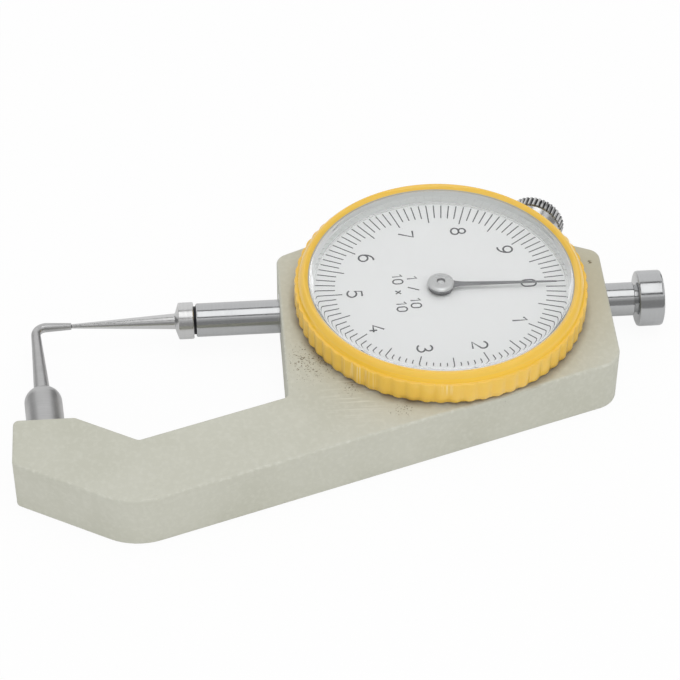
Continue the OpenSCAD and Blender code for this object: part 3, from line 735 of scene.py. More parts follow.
@dataclass
class Palette:
    """Every finish of the object, built once."""

    enamel: Material = coat(Enamel())
    # Lighter enamel on the eased rims: wear, and painted highlights
    worn_enamel: Material = coat(Enamel("worn_highlit_enamel_edge", wear=0.4))
    rod_steel: Material = coat(TurnedMetal("ground_steel_rod", "#BABBBC", "#B0B1B2", 0.16, (0.25, 30, 30)))
    turned_steel: Material = coat(
        TurnedMetal("turned_steel_point", "#CECECE", "#C0C0C0", 0.22, (0.2, 30, 30)))
    anvil_steel: Material = coat(
        TurnedMetal("turned_steel_anvil", "#BEBEBE", "#AEAEAE", 0.36, (30, 0.2, 30)))
    knob_steel: Material = coat(TurnedMetal("knurled_steel", "#CECECE", "#BEBEBE", 0.24, (0.6, 0.6, 0.6)))
    hub_steel: Material = coat(TurnedMetal("satin_steel_hub", "#C6C6C6", "#B6B6B6", 0.3, (0.5, 0.5, 0.5)))
    # Darker copy of the hub's steel: painted shade on the hub's side and bore and in the knurl's valleys
    hub_side: Material = coat(TurnedMetal("shaded_steel_hub_side", "#747476", "#666668", 0.3, (0.4, 0.4, 0.4)))
    # Blackened steel for the set screw, and painted shade on the hub's foot and the contact's neck
    black_steel: Material = coat(TurnedMetal("blackened_steel_and_shade", "#3A3A3C", "#2C2C2E", 0.4, (0.4, 0.4, 0.4)))
    spring_steel: Material = coat(TurnedMetal("drawn_spring_steel", "#8C9096", "#7A7F88", 0.3, (0.3, 3, 3)))
    brass: Material = coat(TurnedMetal("turned_brass", "#C9AE6B", "#B89A55", 0.28, (4, 4, 0.2)))
    plastic: Material = coat(MouldedPlastic())
    # Deeper yellow: painted shade in the bezel's cove
    plastic_cove: Material = coat(MouldedPlastic("moulded_yellow_abs_cove_shade", "#F9CB3E", "#F4C132"))
    dial_white: Material = coat(Paint("matt_white_dial_print", "#E0E0E0", "#DCDCDC", 0.6))
    lining: Material = coat(Paint("pale_grey_bezel_lining", "#E4E6E4", "#DCDEDC", 0.5))
    # Grey: painted shade on the underside of the bezel's nose
    lining_lip: Material = coat(Paint("grey_painted_shade_lip", "#B9B6AC", "#AFACA2", 0.5))
    ink: Material = coat(Paint("dark_dial_ink", "#2C2C30", "#35353A", 0.6))
    pointer_grey: Material = coat(Paint("dark_grey_pointer_paint", "#6A6A6C", "#5C5C5F", 0.4))
    acrylic: Material = coat(ClearAcrylic())


# Shared places

SPINDLE_Y = 3.84261
SPINDLE_Z = 5.35
SHOULDER_ANGLE = 24.0
ANVIL_FOOT: Point = (-69.2, -23.7, SPINDLE_Z)
ANVIL_LEAN = 5.0
LOCK_FOOT: Point = (10.8, SPINDLE_Y, SPINDLE_Z)
ALONG_SPINDLE = Matrix.Translation((0.0, SPINDLE_Y, SPINDLE_Z)) @ Matrix.Rotation(math.pi / 2, 4, "Y")
UPRIGHT = Matrix.Rotation(-math.pi / 2, 4, "X")


@dataclass
class FrameCasting:
    """The cast frame with its boss, recess, bores, and worn edges lightened to paint their highlights."""

    thick: float = 10.7
    left: float = 28.2
    right: float = 29.8
    throat: float = 21.4
    arm_angle: float = 18.0
    arm_width: float = 13.75
    finger_angle: float = 29.3
    finger_width: float = 13.7
    finger_end: float = 74.6
    finger_flat: float = 10.4
    finger_edge: float = 23.7
    back_margins: Point = (2.1, 0.8, 0.5)
    boss_radius: float = 21.83
    boss_top: float = 12.3
    recess_radius: float = 18.63
    recess_floor: float = 9.2
    pocket: tuple[float, float, float, float] = (-13.5, 8.0, -4.0, 11.04)
    pocket_floor: float = 1.8
    pocket_corner: float = 2.0
    groove_depth: float = 0.5
    groove_levels: Plan = (11.5, 12.1)
    bore_radius: float = 3.3
    bush_radius: float = 4.05
    bush_length: float = 7.6
    lock_radius: float = 1.53
    stub_radius: float = 1.52
    stub_depth: float = 9.0
    screw_radius: float = 1.27
    screw_depth: float = 4.0
    edge: float = 0.45
    worn_tilt: Plan = (0.12, 0.97)

    def outline(self) -> list[Plan]:
        """Plan of the casting, from the finger's tip round by the front.

        Returns:
            The outline's points.
        """
        arm = math.tan(math.radians(self.arm_angle))
        finger = math.tan(math.radians(self.finger_angle))
        slope = math.tan(math.radians(SHOULDER_ANGLE))
        flat_x = self.finger_flat - self.finger_end
        arm_in = (arm, self.left * arm - self.throat)
        arm_out = (arm, arm_in[1] - self.arm_width * math.hypot(1, arm))
        finger_in = (-finger, flat_x * finger - self.finger_edge)
        finger_out = (-finger, finger_in[1] - self.finger_width * math.hypot(1, finger))
        left_room, back_room, right_room = (self.boss_radius + margin for margin in self.back_margins)
        left_back = (slope, left_room * math.hypot(1, slope))
        right_back = (-slope, right_room * math.hypot(1, slope))

        def at_x(line: Plan, x: float) -> Plan:
            """Point of a line at x."""
            return x, line[0] * x + line[1]

        def at_y(line: Plan, y: float) -> Plan:
            """Point of a line at y."""
            return (y - line[1]) / line[0], y

        def meet(one: Plan, two: Plan) -> Plan:
            """Point where two lines meet."""
            return at_x(one, (two[1] - one[1]) / (one[0] - two[0]))

        return rounded([
            ((-self.finger_end, -self.finger_edge), 1.0),
            (at_x(finger_out, -self.finger_end), 1.0),
            (meet(finger_out, arm_out), 11.0),
            (at_x(arm_out, self.right), 4.5),
            (at_x(right_back, self.right), 2.5),
            (at_y(right_back, back_room), 2.5),
            (at_y(left_back, back_room), 2.5),
            (at_x(left_back, -self.left), 2.5),
            ((-self.left, -self.throat), 1.0),
            (meet(arm_in, finger_in), 1.0),
            ((flat_x, -self.finger_edge), 1.0),
        ])

    def bores(self) -> list[Piece]:
        """Cutters of the recess, the pocket, the groove and every bore.

        Returns:
            The cutters.
        """
        tall, far = 30.0, 40.0
        axis = Vector((0.0, SPINDLE_Y, SPINDLE_Z))
        along = Vector((1.0, 0.0, 0.0))
        lock = Vector(LOCK_FOOT)
        outward = Vector((*polar(1.0, 90 - SHOULDER_ANGLE), 0.0))
        anvil = Vector(ANVIL_FOOT)
        inward = Vector((*polar(1.0, ANVIL_LEAN - 90), 0.0))
        screw = (anvil + inward * self.screw_depth).xy
        left, right, front, back = self.pocket
        corners = ((left, front), (right, front), (right, back), (left, back))
        left_end, right_end = (along * (end - self.bush_length) for end in (self.left, self.right))
        groove = self.boss_radius - self.groove_depth
        low, high = self.groove_levels
        return [
            prism("recess", arc((0, 0), (self.recess_radius,) * 2, 0, 355, 71), self.recess_floor, tall),
            prism("pocket", rounded([(corner, self.pocket_corner) for corner in corners]),
                  self.pocket_floor, tall),
            lathe("groove", [(groove, low), (tall, low), (tall, high), (groove, high)]),
            rod("bore", self.bore_radius, axis - along * far, axis + along * far),
            rod("left_seat", self.bush_radius, axis - along * far, axis - left_end),
            rod("right_seat", self.bush_radius, axis + right_end, axis + along * far),
            rod("lock_hole", self.lock_radius, lock, lock + outward * tall),
            rod("stub_hole", self.stub_radius, anvil + inward * self.stub_depth, anvil - inward * 2),
            rod("screw_hole", self.screw_radius, Vector((*screw, -1.0)), Vector((*screw, SPINDLE_Z))),
        ]

    def build(self, palette: Palette) -> None:
        """Cast the frame, ease its rims, cut it and give the worn edges a lighter enamel that paints their
        highlights.

        Args:
            palette: The finishes.
        """
        casting = prism("frame_casting", self.outline(), 0.0, self.thick)
        ease(casting, lambda a, b: abs(a.z - b.z) < MERGE, self.edge, 4)
        boss = prism("boss", arc((0, 0), (self.boss_radius,) * 2, 0, 357.5, 143),
                     self.thick - 1, self.boss_top)
        work(casting, boss, Cut.JOIN)
        for tool in self.bores():
            work(casting, tool, Cut.AWAY)
        # Painted highlight: the tilted faces of the eased rims take the lighter worn enamel
        for polygon in casting.data.polygons:
            rim = min(abs(polygon.center.z), abs(polygon.center.z - self.thick)) < self.edge
            tilted = self.worn_tilt[0] < abs(polygon.normal.z) < self.worn_tilt[1]
            polygon.material_index = 1 if rim and tilted else 0
        finish(casting, [palette.enamel, palette.worn_enamel], Body.FRAME, Slot.ENAMEL, "frame")


@dataclass
class Anvil:
    """The fixed post on the finger, turned, tapered and bent to face the spindle."""

    stub_radius: float = 1.5
    stub_length: float = 8.0
    sink: float = 0.35
    base_radius: float = 3.25
    base_height: float = 8.9
    dome_height: float = 2.2
    shank_radius: float = 1.43
    bend_radius: float = 0.83
    tip_radius: float = 0.6
    shank_length: float = 25.68346
    bend_middle: Point = (-69.64532, 2.04261, SPINDLE_Z)
    leg: float = 4.45

    def build(self, palette: Palette) -> None:
        """Turn the post, spin its end round the bend, then draw the leg out to the tip.

        Args:
            palette: The finishes.
        """
        top = self.shank_length
        dome = arc((self.shank_radius, self.base_height),
                   (self.base_radius - self.shank_radius, self.dome_height), 0, 90, 12)
        post = lathe("anvil_post", [
            (0, -self.stub_length), (self.stub_radius, -self.stub_length), (self.stub_radius, -self.sink),
            (self.base_radius, -self.sink), (self.base_radius, self.base_height - 0.2), *dome,
            (self.bend_radius, top), (0, top)], 64)
        pick_edges(post, lambda a, b: min(a.z, b.z) > top - MERGE)
        bpy.ops.mesh.select_mode(type="FACE", use_extend=False, use_expand=False)
        bpy.ops.mesh.delete(type="FACE")
        bpy.ops.object.mode_set(mode="OBJECT")
        place = Matrix.Translation(ANVIL_FOOT) @ Matrix.Rotation(math.radians(ANVIL_LEAN), 4, "Z") @ UPRIGHT
        seat(post, place)
        end = place @ Vector((0.0, 0.0, top))
        reach = self.bend_radius + 0.01
        pick_edges(post, lambda a, b: max((a - end).length, (b - end).length) < reach)
        bpy.ops.mesh.spin(steps=16, angle=math.radians(90 + ANVIL_LEAN), center=self.bend_middle,
                          axis=(0.0, 0.0, 1.0))
        bpy.ops.mesh.extrude_region_move(TRANSFORM_OT_translate={"value": (self.leg, 0.0, 0.0)})
        taper = self.tip_radius / self.bend_radius
        tip = (self.bend_middle[0] + self.leg, SPINDLE_Y, SPINDLE_Z)
        bpy.ops.transform.resize(value=(1.0, taper, taper), center_override=tip)
        bpy.ops.mesh.edge_face_add()
        close_up()
        ease(post, lambda a, b: min(a.x, b.x) > tip[0] - MERGE, 0.12, 2)
        finish(post, [palette.anvil_steel], Body.FRAME, Slot.STEEL, "anvil")


@dataclass
class Spindle:
    """The sliding rod with its rack, its needle contact and its pull cap."""

    radius: float = 3.0
    start: float = -43.1
    cap_start: float = 35.8
    tip: float = -65.165
    neck: float = 2.5
    cap_radius: float = 5.0
    cap_length: float = 4.6
    peg_radius: float = 1.5
    peg_length: float = 3.0
    screw_radius: float = 1.25
    screw_length: float = 4.98
    rack_pitch: float = 0.625
    rack_flat: float = 0.55
    rack_ends: Plan = (-13.125, 3.125)
    rack_gaps: tuple[int, int] = (-20, 5)
    gap_widths: Plan = (0.2371, 0.0742)

    def rack(self) -> Piece:
        """Cutter that leaves the rack's teeth on the rod.

        Returns:
            The cutter.
        """
        top = SPINDLE_Y - self.radius + self.rack_flat
        root = top + 2.25 * self.rack_pitch / math.pi
        wide, narrow = self.gap_widths
        first, last = self.rack_ends
        plan: list[Plan] = [(first, -1.0), (first, top)]
        for gap in range(*self.rack_gaps):
            middle = gap * self.rack_pitch
            plan += [(middle - wide, top), (middle - narrow, root)]
            plan += [(middle + narrow, root), (middle + wide, top)]
        plan += [(last, top), (last, -1.0)]
        return prism("rack", plan[::-1], 0.0, 12.0)

    def blacken(self, piece: Piece, low: float, high: float) -> None:
        """Give the faces of a groove in a turned piece the second finish, whose black paints the groove's
        shade.

        Args:
            piece: The turned piece, in its place.
            low: Start of the groove along the spindle.
            high: End of the groove.
        """
        for polygon in piece.data.polygons:
            within = all(low < piece.data.vertices[index].co.x < high + MERGE for index in polygon.vertices)
            polygon.material_index = 1 if within else 0

    def build(self, palette: Palette) -> None:
        """Turn the rod, cut its rack, then turn the contact and the cap.

        Args:
            palette: The finishes.
        """
        r, neck, start, near = self.radius, self.neck, self.start, self.cap_start
        hole, end = self.screw_radius + 0.02, near - 0.5
        bar = lathe("spindle_rod", [
            (0, start + 5), (hole, start + 5), (hole, start), (r - 0.3, start), (r - 0.09, start + 0.09),
            (r, start + 0.3), (r, end - 0.12), (r - 0.12, end), (neck, end), (neck, near),
            (self.peg_radius, near), (self.peg_radius, near + self.peg_length), (0, near + self.peg_length)])
        seat(bar, ALONG_SPINDLE)
        work(bar, self.rack(), Cut.AWAY)
        finish(bar, [palette.rod_steel], Body.SPINDLE, Slot.POLISHED, "spindle")

        back = start - 0.4
        face = back - 2.6
        cone = face - 0.7
        point = lathe("contact_needle", [
            (0, self.tip), (0.32, self.tip), (0.4, self.tip + 0.08), (1.4, cone - 0.05), (1.45, cone),
            (3.15, face - 0.12), (3.27, face), (3.275, face + 0.15), (3.275, back - 0.15), (3.12, back),
            (neck, back), (neck, start), (self.screw_radius, start),
            (self.screw_radius, start + self.screw_length), (0, start + self.screw_length)])
        seat(point, ALONG_SPINDLE)
        # Painted shade: the neck between the collar and the rod is black
        self.blacken(point, back - MERGE, start)
        finish(point, [palette.turned_steel, palette.black_steel], Body.SPINDLE, Slot.STEEL, "contact_point")

        rim, far = self.cap_radius, near + self.cap_length
        hole, floor = self.peg_radius + 0.02, near + self.peg_length + 0.02
        cap = lathe("pull_cap_head", [
            (hole, near), (rim - 0.5, near), (rim - 0.13, near + 0.16), (rim, near + 0.5), (rim, far - 0.5),
            (rim - 0.13, far - 0.16), (rim - 0.5, far), (0, far), (0, floor), (hole, floor)], 128)
        seat(cap, ALONG_SPINDLE)
        finish(cap, [palette.rod_steel], Body.SPINDLE, Slot.POLISHED, "pull_cap")


@dataclass
class BezelRing:
    """The turning yellow ring with its fluted skirt, and the clear crystal in it."""

    radius: float = 25.7
    low: float = 11.22
    ledge: float = 15.42
    cove_height: float = 0.9
    high: float = 17.2
    flutes: int = 64
    flute_depth: float = 0.4
    flute_fade: float = 0.35
    valley: float = 0.005
    nose_radius: float = 23.12
    glass_radius: float = 23.43
    bore: float = 21.86
    seat_level: float = 12.6
    snap_radius: float = 22.38
    snap_levels: Plan = (11.5, 12.15)
    crystal_foot: float = 13.12
    crystal_under: float = 15.35
    crystal_top: float = 16.85
    brow: float = 0.35
    shade: float = 0.1
    shoulder: float = 1.2
    wall: float = 1.2
    gap: float = 0.02
    samples: int = 12

    def nose(self) -> list[Plan]:
        """Underside of the nose, from its tip down along the crystal's shoulder.

        Returns:
            Points of radius and height.
        """
        reach = self.shoulder + self.gap
        middle = (self.glass_radius - reach, self.crystal_top - self.shoulder)
        tilt = math.degrees(math.acos((self.nose_radius - middle[0]) / reach))
        return arc(middle, (reach, reach), tilt, 0, 6)

    def section(self) -> list[Plan]:
        """Section of the ring: skirt, ledge, cove, crest, then the nose over the crystal's shoulder.

        Returns:
            Points of radius and height.
        """
        r, low, ledge, high = self.radius, self.low, self.ledge, self.high
        nose = self.nose()
        tip = nose[0][1]
        snap_low, snap_high = self.snap_levels
        return [
            (self.bore, low), (r - 0.3, low), (r - 0.09, low + 0.09), (r, low + 0.3), (r, low + 1.5),
            (r, low + 3.0), (r, ledge - 0.22), (r - 0.06, ledge - 0.06), (r - 0.22, ledge), (r - 0.5, ledge),
            (r - 0.6, ledge + 0.06), (r - 0.66, ledge + 0.2), (r - 0.68, ledge + 0.5),
            (r - 0.78, ledge + 0.8), (r - 0.98, ledge + 1.15), (r - 1.24, ledge + 1.46),
            (r - 1.5, high - 0.06), (r - 1.68, high), (r - 1.86, high - 0.06),
            (self.nose_radius + 0.32, tip + self.brow),
            (self.nose_radius + 0.16, tip + 0.14), *nose, (self.glass_radius, self.seat_level),
            (self.bore, self.seat_level), (self.bore, snap_high), (self.snap_radius, snap_high),
            (self.snap_radius, snap_low), (self.bore, snap_low)]

    def flute(self, reach: float, angle: float, height: float) -> float:
        """Depth of a flute at a point of the ring.

        Args:
            reach: Radius of the point.
            angle: Its angle.
            height: Its level.

        Returns:
            How far the point goes in.
        """
        room = reach - self.radius + self.flute_depth
        if room < MERGE or height > self.ledge + MERGE:
            return 0.0
        lobe = math.sqrt(math.cos(self.flutes / 2 * angle) ** 2 + self.valley)
        fade = 1 - self.flute_fade * (height - self.low) / (self.ledge - self.low)
        return min(self.flute_depth * fade * max(0.0, 1 - lobe), room)

    def build(self, palette: Palette) -> None:
        """Make the ring and the crystal.

        Args:
            palette: The finishes.
        """
        ring = lathe("bezel_ring", self.section(), self.flutes * self.samples)
        press(ring, self.flute)
        nose = self.nose()
        for polygon in ring.data.polygons:
            spot = polygon.center
            lean = polygon.normal.xy.dot(spot.xy)
            lined = lean < 0 and spot.xy.length < self.glass_radius + self.gap and spot.z > self.seat_level
            # Painted shade: the cove faces take the deeper yellow of light bounced in the concave corner
            cove = lean > 0 and self.ledge < spot.z < self.ledge + self.cove_height
            # Painted shade: the nose's underside and its lowest lip face take the darker grey; the wall below
            # takes the pale lining
            if lined and spot.z < nose[0][1] + self.shade:
                polygon.material_index = 1 if spot.z < nose[-1][1] else 3
            else:
                polygon.material_index = 2 if cove else 0
        coats = [palette.plastic, palette.lining, palette.plastic_cove, palette.lining_lip]
        finish(ring, coats, Body.BEZEL, Slot.PLASTIC, "bezel", smooth=40.0)
        outer = self.glass_radius - self.gap
        inner, bend, under, top = outer - self.wall, self.shoulder, self.crystal_under, self.crystal_top
        foot, flat = self.crystal_foot, outer - bend - 0.2
        round_edge = arc((outer - bend, top - bend), (bend, bend), 0, 90, 24)
        cup = lathe("crystal_cup", [
            (inner, foot), (outer, foot), *round_edge, (flat, top), (0, top), (0, under), (inner, under)],
            384)
        for polygon in cup.data.polygons:
            spot = polygon.center
            bedded = polygon.normal.xy.dot(spot.xy) > 0 and spot.xy.length > self.nose_radius
            polygon.material_index = 1 if bedded else 0
        finish(cup, [palette.acrylic, palette.lining], Body.BEZEL, Slot.ACRYLIC, "crystal", smooth=40.0)


class Glyphs:
    """Plain stroke characters, drawn in a box one unit high."""

    WIDTH = 0.63

    @staticmethod
    def strokes(sign: str) -> list[list[Plan]]:
        """Strokes of one character.

        Args:
            sign: The character.

        Returns:
            Lists of points, one for each stroke.
        """
        half = Glyphs.WIDTH / 2
        wide = Glyphs.WIDTH
        six = [[*arc((0.5, 0.34), (0.5, 0.66), 82, 172, 10), *arc((half, 0.31), (half, 0.31), 165, 535, 26)]]
        drawn: dict[str, list[list[Plan]]] = {
            "0": [[*arc((half, 0.68), (half, 0.32), 0, 180, 12),
                   *arc((half, 0.32), (half, 0.32), 180, 360, 12), (wide, 0.68)]],
            "1": [[(0.1, 0.78), (0.38, 1.0), (0.38, 0.0)]],
            "2": [[*arc((half, 0.7), (half, 0.3), 165, -32, 14), (0.0, 0.0), (wide, 0.0)]],
            "3": [[*arc((0.29, 0.755), (0.27, 0.245), 150, -90, 12),
                   *arc((0.29, 0.26), (0.33, 0.26), 80, -150, 14)]],
            "4": [[(0.4, 1.0), (0.0, 0.28), (wide, 0.28)], [(0.46, 0.52), (0.46, 0.0)]],
            "5": [[(0.57, 1.0), (0.1, 1.0), (0.05, 0.52), *arc((0.29, 0.32), (0.33, 0.31), 128, -150, 16)]],
            "6": six,
            "7": [[(0.0, 1.0), (wide, 1.0), (0.24, 0.0)]],
            "8": [arc((half, 0.76), (0.25, 0.24), 0, 360, 20), arc((half, 0.27), (half, 0.27), 0, 360, 24)],
            "9": [[(wide - x, 1.0 - y) for x, y in six[0]]],
            "/": [[(0.02, -0.05), (0.5, 1.05)]],
            "x": [[(0.04, 0.1), (0.5, 0.64)], [(0.04, 0.64), (0.5, 0.1)]],
            " ": [],
        }
        return drawn[sign]


@dataclass
class DialFace:
    """The white dial with its hundred divisions, its numbers and its scale note."""

    level: float = 13.1
    thick: float = 0.5
    radius: float = 23.41
    hole: float = 1.1
    rim_ease: float = 0.05
    print_turn: float = 1.2
    divisions: int = 100
    long_each: int = 5
    tick_end: float = 22.0
    short_tick: float = 3.44
    long_tick: float = 4.65
    tick_width: float = 0.2
    number_radius: float = 15.4
    number_height: float = 2.6
    number_shift: float = 0.2
    notes: tuple[tuple[str, float], ...] = (("1 / 10", -4.75), ("10 x 10", -7.3))
    note_shift: float = -0.4
    note_height: float = 1.75
    note_stroke: float = 0.27
    note_pitch: float = 0.8
    stroke: float = 0.33
    proud: float = 0.03

    def write(self, name: str, text: str, height: float, stroke: float, pitch: float) -> Piece:
        """Draw a line of strokes and flatten it to print.

        Args:
            name: Name of the line.
            text: Its characters.
            height: Height of a number.
            stroke: Width of a stroke.
            pitch: Step from one character to the next, in heights.

        Returns:
            The line, centred on the origin, reading along +X.
        """
        deselect()
        curve = bpy.data.curves.new(name, "CURVE")
        curve.dimensions = "3D"
        curve.bevel_depth = stroke / 2
        curve.bevel_resolution = 1
        curve.use_fill_caps = True
        length = pitch * (len(text) - 1) + Glyphs.WIDTH
        for place, sign in enumerate(text):
            for points in Glyphs.strokes(sign):
                spline = curve.splines.new("POLY")
                spline.points.add(len(points) - 1)
                for knot, (x, y) in zip(spline.points, points):
                    knot.co = ((x + place * pitch - length / 2) * height, (y - 0.5) * height, 0.0, 1.0)
        line = bpy.data.objects.new(name, curve)
        bpy.context.scene.collection.objects.link(line)
        take(line)
        bpy.ops.object.convert(target="MESH")
        return seat(bpy.context.object, Matrix.Diagonal((1.0, 1.0, 2 * self.proud / stroke, 1.0)))

    def ticks(self) -> list[Piece]:
        """Draw one short and one long division, then copy them round the scale.

        Returns:
            The divisions.
        """
        half = self.tick_width / 2
        marks = []
        for length in (self.short_tick, self.long_tick):
            start = self.tick_end - length
            plan = [(start, -half), (self.tick_end, -half), (self.tick_end, half), (start, half)]
            marks.append(prism("division", plan, self.level - self.proud, self.level + self.proud))
        copies = []
        for step in range(self.divisions):
            source = marks[1 if step % self.long_each == 0 else 0]
            mark = source.copy()
            mark.data = source.data.copy()
            bpy.context.scene.collection.objects.link(mark)
            turn = math.radians(self.print_turn - 360 / self.divisions * step)
            copies.append(seat(mark, Matrix.Rotation(turn, 4, "Z")))
        for mark in marks:
            bpy.data.objects.remove(mark)
        return copies

    def lettering(self) -> list[Piece]:
        """Write the ten numbers and a plain note of the scale, all upright to +X.

        Returns:
            The lines of print.
        """
        upright = Matrix.Rotation(-math.pi / 2, 4, "Z")
        tilt = Matrix.Rotation(math.radians(self.print_turn), 4, "Z")
        shift = Matrix.Translation((self.number_shift, 0.0, 0.0))
        lines = []
        for number in range(10):
            line = self.write("number", str(number), self.number_height, self.stroke, 1.0)
            spot = Vector((*polar(self.number_radius, -36.0 * number), self.level))
            lines.append(seat(line, shift @ tilt @ Matrix.Translation(spot) @ upright))
        for text, place in self.notes:
            line = self.write("note", text, self.note_height, self.note_stroke, self.note_pitch)
            spot = (place, self.note_shift, self.level)
            lines.append(seat(line, tilt @ Matrix.Translation(spot) @ upright))
        return lines

    def build(self, palette: Palette) -> None:
        """Make the dial plate and its print.

        Args:
            palette: The finishes.
        """
        top, hole, rim = self.level, self.hole, self.radius
        low, edge = top - self.thick, top - self.rim_ease
        plate = lathe("dial_plate", [
            (hole, low), (rim, low), (rim, edge), (rim - self.rim_ease, top), (hole + self.rim_ease, top),
            (hole, edge)], 192)
        finish(plate, [palette.dial_white], Body.BEZEL, Slot.DIAL, "dial")
        print_layer = gather("dial_print", self.ticks() + self.lettering())
        finish(print_layer, [palette.ink], Body.BEZEL, Slot.POINTER)


@dataclass
class Pointer:
    """The pointer's hub button and its tapered needle."""

    low: float = 13.3
    high: float = 14.9
    hub_radius: float = 2.35
    foot_radius: float = 2.15
    reach: float = 20.4
    angle: float = -1.7
    needle_low: float = 14.0
    needle_high: float = 14.2
    root: float = 2.25
    neck: float = 1.2
    bore: float = 0.62
    crown: Plan = (0.7, 0.45)
    dimple: float = 0.76

    def build(self, palette: Palette) -> None:
        """Turn the hub and cut the needle.

        Args:
            palette: The finishes.
        """
        r, foot, neck, high = self.hub_radius, self.foot_radius, self.neck, self.high
        wide, tall = self.crown
        crown = arc((r - wide, high - tall), self.crown, 0, 90, 8)
        hub = lathe("pointer_button", [
            (self.bore, self.low), (foot - 0.1, self.low), (foot, self.low + 0.1), (foot, self.needle_low),
            (neck, self.needle_low), (neck, self.needle_high), (foot, self.needle_high),
            (foot, self.needle_high + 0.2), (r - 0.05, self.needle_high + 0.34), *crown, (self.dimple, high),
            (0.72, high - 0.03), (0.64, high - 0.3), (self.bore, high - 0.31)], 96)
        # Painted shade: the hub's side and bore take the darker steel, its foot under the needle black steel;
        # the crown keeps the lighter steel
        for polygon in hub.data.polygons:
            upper = polygon.center.z > high - tall and polygon.center.xy.length > self.dimple
            polygon.material_index = 0 if upper else 1 if polygon.center.z > self.needle_high else 2
        coats = [palette.hub_steel, palette.hub_side, palette.black_steel]
        finish(hub, coats, Body.POINTER, Slot.STEEL, "pointer_hub")
        root = self.root
        side = [(2.05, 0.92), (2.6, 0.72), (3.3, 0.55), (4.2, 0.45), (9.0, 0.34), (15.0, 0.22),
                (self.reach, 0.1)]
        begin = math.degrees(math.atan2(side[0][1], side[0][0]))
        back = arc((0, 0), (root, root), begin, 360 - begin, 40)
        plan = [(x, -y) for x, y in side] + side[::-1] + back[1:-1]
        needle = prism("pointer_needle_blade", plan, self.needle_low, self.needle_high)
        hole = rod("hub_hole", neck + 0.02, Vector((0, 0, 10)), Vector((0, 0, 20)))
        work(needle, hole, Cut.AWAY)
        seat(needle, Matrix.Rotation(math.radians(self.angle), 4, "Z"))
        finish(needle, [palette.pointer_grey], Body.POINTER, Slot.POINTER, "pointer_needle")


@dataclass
class LockScrew:
    """The knurled lock screw on the right shoulder."""

    start: float = 6.32
    face: float = 14.4268
    thread_radius: float = 1.5
    thread_depth: float = 0.22
    thread_pitch: float = 0.5
    collar_radius: float = 2.8
    knob_radius: float = 5.3
    height: float = 10.7
    knurl: float = 2.6
    cone: float = 1.8
    cone_step: float = 0.75
    teeth: int = 40
    tooth_depth: float = 0.3
    land: float = 0.34
    dark_share: float = 1 / 3

    def core(self) -> float:
        """Radius under the knurl."""
        return self.knob_radius - self.tooth_depth - 0.1

    def groove(self, reach: float, angle: float, height: float) -> float:
        """Depth of the knurl at a point of the screw, the same at every height.

        Args:
            reach: Radius of the point.
            angle: Its angle.
            height: Its level. Not used.

        Returns:
            How far the point goes in.
        """
        room = reach - self.core()
        share = (self.teeth * angle / FULL_TURN) % 1.0
        valley = max(0.0, abs(2 * share - 1) - self.land) / (1 - self.land)
        return min(self.tooth_depth * valley, room) if room > 0.02 else 0.0

    def build(self, palette: Palette) -> None:
        """Turn the screw and press the straight knurl into its head.

        Args:
            palette: The finishes.
        """
        collar, top = self.face + 0.5, self.face + self.height
        low, cone = top - self.knurl, top - self.knurl - self.cone
        r, stem, waist = self.knob_radius, self.thread_radius, self.collar_radius
        core = self.core()
        thread = []
        level = self.start + 0.3
        while level < collar - self.thread_pitch:
            thread += [(stem, level), (stem - self.thread_depth, level + self.thread_pitch / 2)]
            level += self.thread_pitch
        screw = lathe("lock_screw_knob", [
            (0, self.start), (stem - 0.25, self.start), *thread, (stem - 0.1, collar), (waist - 0.12, collar),
            (waist, collar + 0.12), (waist, cone - 0.15), (waist + 0.15, cone), (core - self.cone_step, cone),
            (core, low), (r, low + 0.12), (r, low + 0.5), (r, top - 0.6), (r - 0.08, top - 0.42),
            (core, top - 0.3), (core - 0.3, top - 0.04), (core - 0.5, top), (0, top)], self.teeth * 6)
        press(screw, self.groove)
        # Painted shade: the faces in each knurl valley take the darker steel
        for polygon in screw.data.polygons:
            share = (self.teeth * math.atan2(polygon.center.y, polygon.center.x) / FULL_TURN) % 1.0
            knurled = low < polygon.center.z < top - 0.3 and polygon.center.xy.length > core
            polygon.material_index = 1 if knurled and abs(share - 0.5) > self.dark_share else 0
        turn = Matrix.Rotation(-math.radians(SHOULDER_ANGLE), 4, "Z")
        seat(screw, Matrix.Translation(LOCK_FOOT) @ turn @ UPRIGHT)
        coats = [palette.knob_steel, palette.hub_side]
        finish(screw, coats, Body.LOCK_SCREW, Slot.STEEL, "lock_screw", smooth=25.0)


class InnerWorks:
    """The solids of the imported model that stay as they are, inside the frame or flush with it."""

    def dress(self, palette: Palette) -> None:
        """Give each carried-over solid its finish.

        Args:
            palette: The finishes.
        """
        coats = {
            palette.rod_steel: ("left_bush", "right_bush"),
            palette.turned_steel: (
                "guide_pin", "spring_pin", "spring_post", "plate_screws", "hairspring_stud", "pinion_arbor"),
            palette.black_steel: ("anvil_set_screw",),
            palette.spring_steel: ("return_spring", "hairspring", "bezel_snap_ring"),
            palette.brass: ("movement_plate", "lower_bush", "upper_bush", "hairspring_collet", "lock_pad"),
        }
        for coat, names in coats.items():
            for name in names:
                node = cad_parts[name]
                if not node.material_slots:
                    node.data.materials.append(coat)
                for slot in node.material_slots:
                    slot.material = coat
                LOG.info("%s: dressed", name)


